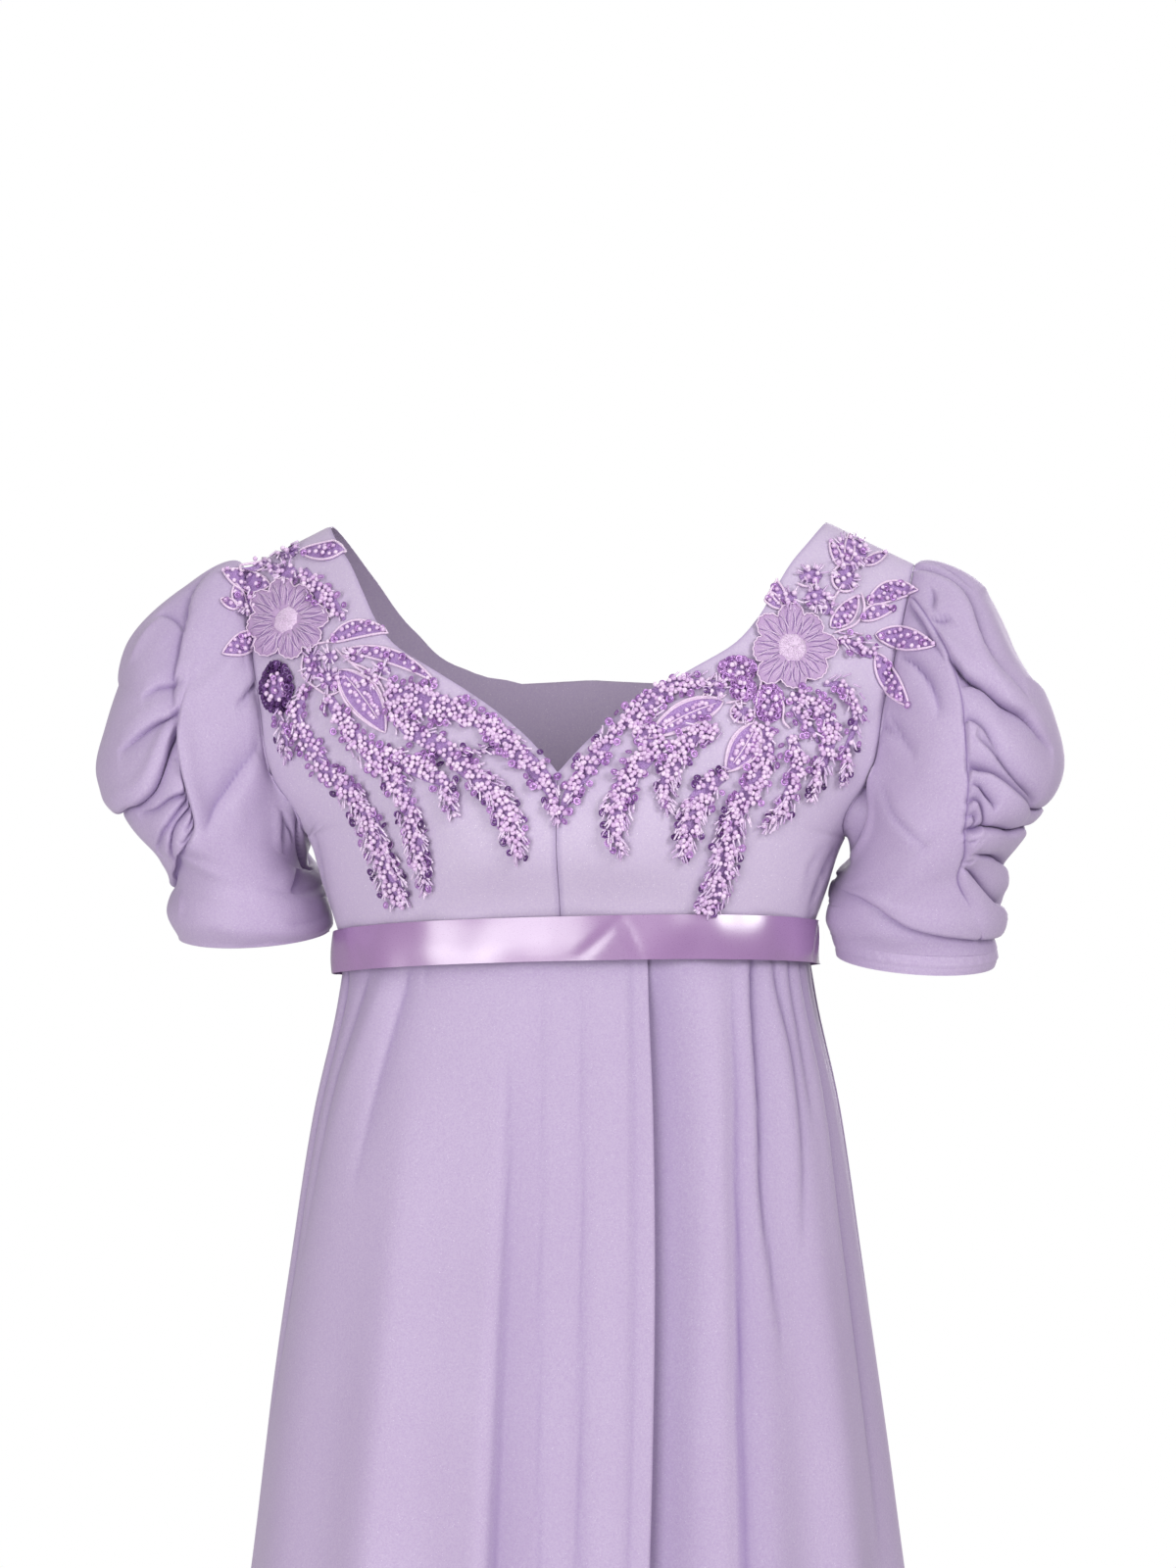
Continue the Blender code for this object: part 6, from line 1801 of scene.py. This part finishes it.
class Sewing:
    """Sews beads, sequins, bugles and cords on one applique, and knows which pixels they take."""

    def __init__(self, carrier, random, heaps, taken):
        self.carrier, self.random, self.heaps, self.taken = carrier, random, heaps, taken

    def cord(self, route, lift, radius):
        tube(self.heaps["cords"], lifted(route, self.carrier, lift), radius)

    def bead(self, x, y, lift, size):
        """One bead, so far out from the net, unless no cloth carries it."""
        place, normal = self.carrier(x, y)
        if self.carrier.missed < MOST_MISSED:
            axes = frame_on(normal, self.random.uniform(0, 6))
            sizes = (size, size, size * BEAD_SQUASH)
            put_form(self.heaps["beads"], BALL, place + normal * (NET_LIFT + lift), axes, sizes)

    def sequin(self, spot, lift, lean=0.45, kind="sequins"):
        """A cupped sequin, tipped a little in any direction."""
        place, normal = self.carrier(*spot)
        if self.carrier.missed > MOST_MISSED:
            return
        tipped = unit(normal + self.random.normal(0, lean, 3) * 0.6)
        if tipped @ normal < 0.4:
            tipped = normal
        size = SEQUIN_RADIUS * self.random.uniform(*SEQUIN_SIZES)
        axes = frame_on(tipped, self.random.uniform(0, 6))
        put_form(self.heaps[kind], SEQUIN, place + normal * lift, axes, (size, size, size))

    def bugle(self, spot, heading):
        """A short glass tube that leans out of the beads along a heading in the picture."""
        ahead, _ = self.carrier(spot[0] + heading[0] * 4, spot[1] + heading[1] * 4)
        place, normal = self.carrier(*spot)
        if self.carrier.missed > MOST_MISSED:
            return
        along = unit(unit(ahead - place) + normal * self.random.uniform(*BUGLES_TIPPED))
        side = unit(np.cross(along, normal))
        axes = np.array([side, np.cross(along, side), along])
        half = BUGLE_LENGTH / 2 * self.random.uniform(*BUGLE_SIZES)
        place = place + normal * self.random.uniform(*BUGLES_OUT)
        put_form(self.heaps["bugles"], BUGLE, place, axes, (BUGLE_RADIUS, BUGLE_RADIUS, half))

    def area(self, outline, radius=BEAD_RADIUS, upper=0.42, sequins=0.5):
        """Beads in one close layer and a looser one over it, with sequins showing between them."""
        random, pixels = self.random, radius / PIXEL
        for spot in scatter(outline, pixels * LOW_BEADS_APART, random, self.taken["beads"]):
            size = radius * random.uniform(*BEAD_SIZES)
            self.bead(*spot, radius * random.uniform(*LOW_BEADS), size)
        for spot in scatter(outline, pixels * HIGH_BEADS_APART, random, self.taken["upper"], 6):
            if random.uniform() < upper:
                self.bead(*spot, radius * random.uniform(*HIGH_BEADS), radius)
        for spot in scatter(outline, SEQUINS_APART, random, self.taken["sequins"], 5):
            if random.uniform() <= sequins:
                self.sequin(spot, random.uniform(*SEQUINS_BETWEEN))

    def sprig(self, spot, outward):
        """Three or four beads drawn together over a sequin that shows on their outer side."""
        random = self.random
        if random.uniform() < 0.72:
            shown = spot + outward * random.uniform(3.4, 5.8)
            self.sequin(shown, random.uniform(*SEQUINS_SHOWN), 0.4)
        count, turn = random.choice([3, 3, 4]), random.uniform(0, 2 * math.pi)
        reach = BEAD_RADIUS / PIXEL * (1.14 if count == 3 else 1.35)
        for angle in turn + np.arange(count) / count * 2 * math.pi + random.uniform(-0.2, 0.2, count):
            size = BEAD_RADIUS * random.uniform(*SPRIG_SIZES)
            x, y = spot[0] + reach * math.cos(angle), spot[1] + reach * math.sin(angle)
            self.bead(x, y, size * random.uniform(*SPRIG_BEADS), size)
        if random.uniform() < 0.5:
            self.bead(*spot, BEAD_RADIUS * random.uniform(*TOP_BEADS), BEAD_RADIUS * 0.95)

    def strand(self, strand):
        """A band of sprigs with sequins along its edges, and bugles that lean out of its later part."""
        random = self.random
        route = smooth_route(strand.route, 1.0)
        count = len(route)
        bugle_start = int(count * min(strand.bugles_from, 1.0))
        ahead = np.gradient(route[:, :2], axis=0)
        ahead = ahead / np.linalg.norm(ahead, axis=1, keepdims=True)
        across = np.stack([-ahead[:, 1], ahead[:, 0]], axis=-1)
        for spot in scatter(strand_outline(strand, -5.2), SPRIG_STEP, random, self.taken["beads"], 30):
            i = int(np.argmin(np.linalg.norm(route[:, :2] - spot, axis=1)))
            side = 1 if (spot - route[i, :2]) @ across[i] > 0 else -1
            outward = unit(across[i] * side + random.normal(0, 0.6, 2))
            if route[i, 2] > SPRIG_WIDTH or random.uniform() < 0.2:
                self.sprig(spot, outward)
            else:
                self.bead(*spot, BEAD_RADIUS * 1.3, BEAD_RADIUS * 0.95)
        at = random.uniform(4, 10)
        while at < count - 2:
            i = int(at)
            side = random.choice([-1, 1])
            spot = route[i, :2] + across[i] * side * (route[i, 2] / 2 - random.uniform(-1.8, 1.2))
            dark = random.uniform() < 0.10 + 0.50 * (i > bugle_start)
            self.sequin(spot, random.uniform(*SEQUINS_AT_EDGE), 0.5, "dark" if dark else "sequins")
            at += random.uniform(5, 12)
        for i in range(count):
            if random.uniform() > (MANY_BUGLES if i > bugle_start else FEW_BUGLES):
                continue
            side = random.choice([-1, 1])
            share = random.uniform(0.35, 1.15) * side
            spot = route[i, :2] + across[i] * share * route[i, 2] / 2
            self.bugle(spot, ahead[i] + across[i] * side * random.uniform(0.15, 0.9))

    def leaf(self, leaf):
        """Corded edges round a filling of beads or, in an open leaf, round a corded middle line."""
        random = self.random
        middle, *edges = leaf_lines(leaf)
        is_open = leaf.fill == "open"
        thick = CORD_RADIUS if is_open else CORD_RADIUS * 0.85
        for edge in edges:
            self.cord(edge, EDGE_LIFT, thick)
            if is_open:
                self.cord((middle + (edge - middle) * 0.86)[1:-1], INNER_LIFT, thick * 0.6)
        if not is_open:
            self.area(leaf_outline(leaf, -2.6), SMALL_BEAD_RADIUS, 0.2, 0.8)
            return
        self.cord(middle[2:-5], INNER_LIFT, FINE_CORD_RADIUS)
        for i in range(3, len(middle) - 6):
            for edge in edges:
                if random.uniform() > 0.62:
                    continue
                spot = middle[i] + (edge[i] - middle[i]) * random.uniform(0.18, 0.42)
                place, normal = self.carrier(*spot)
                size = SMALL_BEAD_RADIUS * random.uniform(0.9, 1.1)
                place = place + normal * 0.0016
                put_form(self.heaps["beads"], BALL, place, frame_on(normal, 0), (size, size, size))

    def cluster(self, cluster):
        """A round or oval patch of beads, with sequins or bugles round it."""
        random = self.random
        x, y, wide, high, kind = cluster
        if kind in ("dark", "ringed"):
            for turn in np.linspace(0, 2 * math.pi, int((wide + high) * 0.8)):
                for share in (0.98, 0.72):
                    spot = (x + wide * share * math.cos(turn), y + high * share * math.sin(turn))
                    lift = random.uniform(*SEQUINS_IN_RING)
                    self.sequin(spot, lift, 0.5, "dark" if kind == "dark" else "sequins")
            self.area(oval_outline(x, y, wide * 0.66, high * 0.70), SMALL_BEAD_RADIUS * 1.1, 0.5, 0.8)
            return
        self.area(oval_outline(x, y, wide - 1.5, high - 1.5))
        for turn in random.uniform(0, 2 * math.pi, int(wide + high) // 2):
            heading = (math.cos(turn), math.sin(turn))
            self.bugle((x + wide * 0.9 * heading[0], y + high * 0.9 * heading[1]), heading)
        if kind == "corded":
            self.cord(oval_outline(x, y, wide + 1, high + 1, 28)[3:24], OVAL_LIFT, CORD_RADIUS * 0.9)


def make_lace(side, carrier, materials):
    """One shoulder's applique: its net, and the pieces that are sewn on it."""
    strands, leaves, clusters, stems = LACE[side.name]
    flower = FLOWERS[side.name]
    centre = np.array([flower.x, flower.y])
    random = np.random.default_rng(40 + side.sign)
    outlines = [strand_outline(strand, -4.2) for strand in strands]
    outlines += [leaf_outline(leaf, 0.8) for leaf in leaves]
    outlines += [oval_outline(c.x, c.y, c.half_width - 2, c.half_height - 2) for c in clusters]
    turn = np.linspace(0, 2 * math.pi, 40, endpoint=False)
    edge = flower_edge(flower, turn)[:, None] * 0.97
    outlines.append(centre + edge * np.stack([np.cos(turn), np.sin(turn)], axis=-1))
    net = make_net(f"lace_net_{side.name}", outlines, carrier, materials["net"])
    heaps = {name: Heap() for name in HEAPS}
    taken = {name: [centre] for name in ("beads", "upper", "sequins")}
    make_flower(flower, carrier, heaps, random)
    sewing = Sewing(carrier, random, heaps, taken)
    for sew, motifs in ((sewing.cluster, clusters), (sewing.leaf, leaves), (sewing.strand, strands)):
        for motif in motifs:
            sew(motif)
    for stem in stems:
        sewing.cord(smooth_route(stem, 3.0), STEM_LIFT, CORD_RADIUS * 0.9)
    filled = ((name, heap) for name, heap in heaps.items() if heap.count)
    return net, [heap.piece(f"lace_{name}_{side.name}", materials[name]) for name, heap in filled]


# ---- The stage ----------------------------------------------------------------------------------

AMBIENT = 0.37
FLOOR_RADIUS, FLOOR_CORNERS, FLOOR_GAP = 1.7, 96, 0.001
Lamp = namedtuple("Lamp", "name place target size power")
LAMPS = (
    Lamp("key", (-0.80, -2.3, 0.28), (0, 0, -0.15), (1.3, 1.5), 22),
    Lamp("low", (-0.95, -2.1, -0.75), (0, 0, -0.235), (1.3, 0.8), 13),
    Lamp("fill", (1.85, -1.6, 1.0), (0, 0, -0.2), (1.2, 1.2), 36),
    Lamp("top", (0, 0.2, 2.2), (0, 0, -0.2), (2.0, 1.6), 9),
    Lamp("behind", (0.4, 2.6, 0.4), (0, 0, -0.4), (1.6, 1.8), 46),
)


def aim(item, target):
    item.rotation_euler = (Vector(target) - item.location).to_track_quat("-Z", "Y").to_euler()


def light(name, place, target, size, power):
    lamp = bpy.data.lights.new(name, "AREA")
    lamp.shape, lamp.size, lamp.size_y = "RECTANGLE", *size
    lamp.energy = power
    item = bpy.data.objects.new(name, lamp)
    bpy.context.collection.objects.link(item)
    item.location = place
    aim(item, target)


def make_floor():
    """A plain round floor, just below the hem."""
    mesh = bpy.data.meshes.new("floor")
    turn = np.linspace(0, 2 * math.pi, FLOOR_CORNERS, endpoint=False)
    height = np.full_like(turn, HEM_Z - FLOOR_GAP)
    ring = np.stack([FLOOR_RADIUS * np.cos(turn), FLOOR_RADIUS * np.sin(turn), height], axis=-1)
    mesh.from_pydata(ring.tolist(), [], [list(range(FLOOR_CORNERS))])
    pale = Nodes("pale_floor")
    cloud = pale.noise(pale.place(), 3, 4)
    pale.set(Base_Color=pale.mix(cloud, colour(236, 234, 236), colour(242, 240, 242)), Roughness=0.8)
    mesh.materials.append(pale.material)
    floor = bpy.data.objects.new("floor", mesh)
    bpy.context.collection.objects.link(floor)


def make_surroundings():
    """White behind the gown, and a dimmer light from all round it."""
    world = bpy.data.worlds.new("surroundings")
    bpy.context.scene.world = world
    world.use_nodes = True
    tree = world.node_tree
    tree.nodes.clear()
    seen, shed, path, mixed, out = (
        tree.nodes.new(f"ShaderNode{kind}")
        for kind in ("Background", "Background", "LightPath", "MixShader", "OutputWorld")
    )
    seen.inputs[0].default_value, seen.inputs[1].default_value = (1, 1, 1, 1), 1.0
    shed.inputs[0].default_value, shed.inputs[1].default_value = (1, 0.99, 1, 1), AMBIENT
    for source, socket in (
        (path.outputs["Is Camera Ray"], mixed.inputs[0]),
        (shed.outputs[0], mixed.inputs[1]),
        (seen.outputs[0], mixed.inputs[2]),
        (mixed.outputs[0], out.inputs[0]),
    ):
        tree.links.new(source, socket)


def make_camera():
    """The camera that the photograph was taken with, as far as it can be told."""
    lens = bpy.data.cameras.new("camera")
    camera = bpy.data.objects.new("camera", lens)
    bpy.context.collection.objects.link(camera)
    bpy.context.scene.camera = camera
    camera.location = EYE
    camera.rotation_euler = (math.pi / 2, 0, VIEW_TURN)
    lens.sensor_fit, lens.sensor_height = "VERTICAL", SENSOR
    lens.lens = SENSOR * VIEW_DISTANCE / (IMAGE_HEIGHT * PIXEL)
    lens.shift_x = (IMAGE_WIDTH / 2 - MIDDLE_PIXEL) / IMAGE_HEIGHT


def make_stage():
    """The floor, the white surroundings, the lights and the camera."""
    make_floor()
    make_surroundings()
    for lamp in LAMPS:
        light(*lamp)
    make_camera()
    bpy.context.scene.view_settings.view_transform = "Standard"
    bpy.context.scene.view_settings.look = "None"


# ---- The cloth's cut ----------------------------------------------------------------------------

# The flat cut of each piece of cloth: its width, its length, its area where that is not their product,
# in metres, and how the piece is held.
Cut = namedtuple("Cut", "width length area held")
CUTS = {
    "bodice_front": Cut(0.225, 0.355, 0.0390, "hung"),
    "bodice_back": Cut(0.215, 0.400, 0.0420, "hung"),
    "puff_left": Cut(0.300, 0.400, 0.0580, "gathered"),
    "puff_right": Cut(0.310, 0.350, 0.0520, "gathered"),
    "under_left": Cut(0.380, 0.270, 0.0350, "hung"),
    "under_right": Cut(0.380, 0.275, 0.0345, "hung"),
    "band_left": Cut(0.310, 0.0135, None, "hung"),
    "band_right": Cut(0.285, 0.0195, None, "hung"),
    "lace_net_left": Cut(0.114, 0.266, 0.0114, "laid"),
    "lace_net_right": Cut(0.122, 0.270, 0.0127, "laid"),
    "skirt_front": Cut(0.950, 1.190, 0.8300, "gathered"),
    "skirt_back": Cut(0.465, 1.180, 0.3950, "gathered"),
    "ribbon": Cut(0.790, 0.0255, None, "laid"),
}


def declare(piece, cut, carried_by):
    """Looks up the size that a piece of cloth was cut to. The piece and what carries it are not used."""
    width, length, area, held = CUTS[cut]


# ---- The gown -----------------------------------------------------------------------------------

make_stage()
MATERIALS = {
    "crepe": crepe_material(
        "lilac_crepe", colour(186, 169, 198), colour(191, 175, 203), colour(166, 142, 186), 0.55
    ),
    # A lighter copy of the lilac crepe with more painted glints: painted light that brightens the bodice.
    "bodice": crepe_material(
        "bodice_crepe", colour(197, 182, 206), colour(203, 189, 211), colour(180, 160, 198), 0.9
    ),
    "satin": satin_material(),
    "net": net_material(),
    "beads": bead_material(),
    "sequins": sequin_material("lace_sequin", colour(140, 88, 164), colour(192, 144, 208)),
    "dark": sequin_material("lace_dark_sequin", colour(60, 22, 84), colour(110, 62, 136)),
    "bugles": bugle_material(),
    "cords": thread_material("lace_cord", colour(212, 178, 214), colour(244, 226, 244), 1900),
    "petals": petal_material(),
    "threads": thread_material("lace_thread", colour(206, 178, 212), colour(236, 216, 238), 2600),
    "shaded": thread_material("lace_shaded_thread", colour(116, 82, 146), colour(150, 114, 172), 2600),
}
for side in SIDES:
    panels = {}
    for behind, face, creases in ((False, "front", FRONT_CREASES), (True, "back", BACK_CREASES)):
        name = f"bodice_{face}_{side.name}"
        panels[face] = bodice_panel(f"{name}_cloth", side, behind, creases[side.name], MATERIALS["bodice"])
        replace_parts(panels[face], name)
    declare(panels["front"], "bodice_front", [panels["back"]])
    declare(panels["back"], "bodice_back", [panels["front"]])
    puff, under, band = make_sleeve(side, MATERIALS["crepe"])
    for piece, name in ((puff, "puff"), (under, "under"), (band, "band")):
        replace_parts(piece, f"sleeve_{name}_{side.name}")
    declare(puff, puff.name, [panels["front"], panels["back"], under])
    declare(under, under.name, [panels["front"], panels["back"]])
    declare(band, band.name, [under])
    net, sewn_on = make_lace(side, Carrier([panels["front"], puff, under]), MATERIALS)
    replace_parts(net, f"applique_{side.name}")
    declare(net, net.name, [panels["front"], puff])
ribbon = make_ribbon(MATERIALS["satin"])
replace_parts(ribbon, "ribbon_sash")
declare(ribbon, "ribbon", ["bodice_front_left_cloth", "bodice_front_right_cloth"])
for panel in make_skirt(MATERIALS["crepe"]):
    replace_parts(panel, panel.name.removesuffix("_cloth"))
    declare(panel, "skirt_front" if "front" in panel.name else "skirt_back", [ribbon])
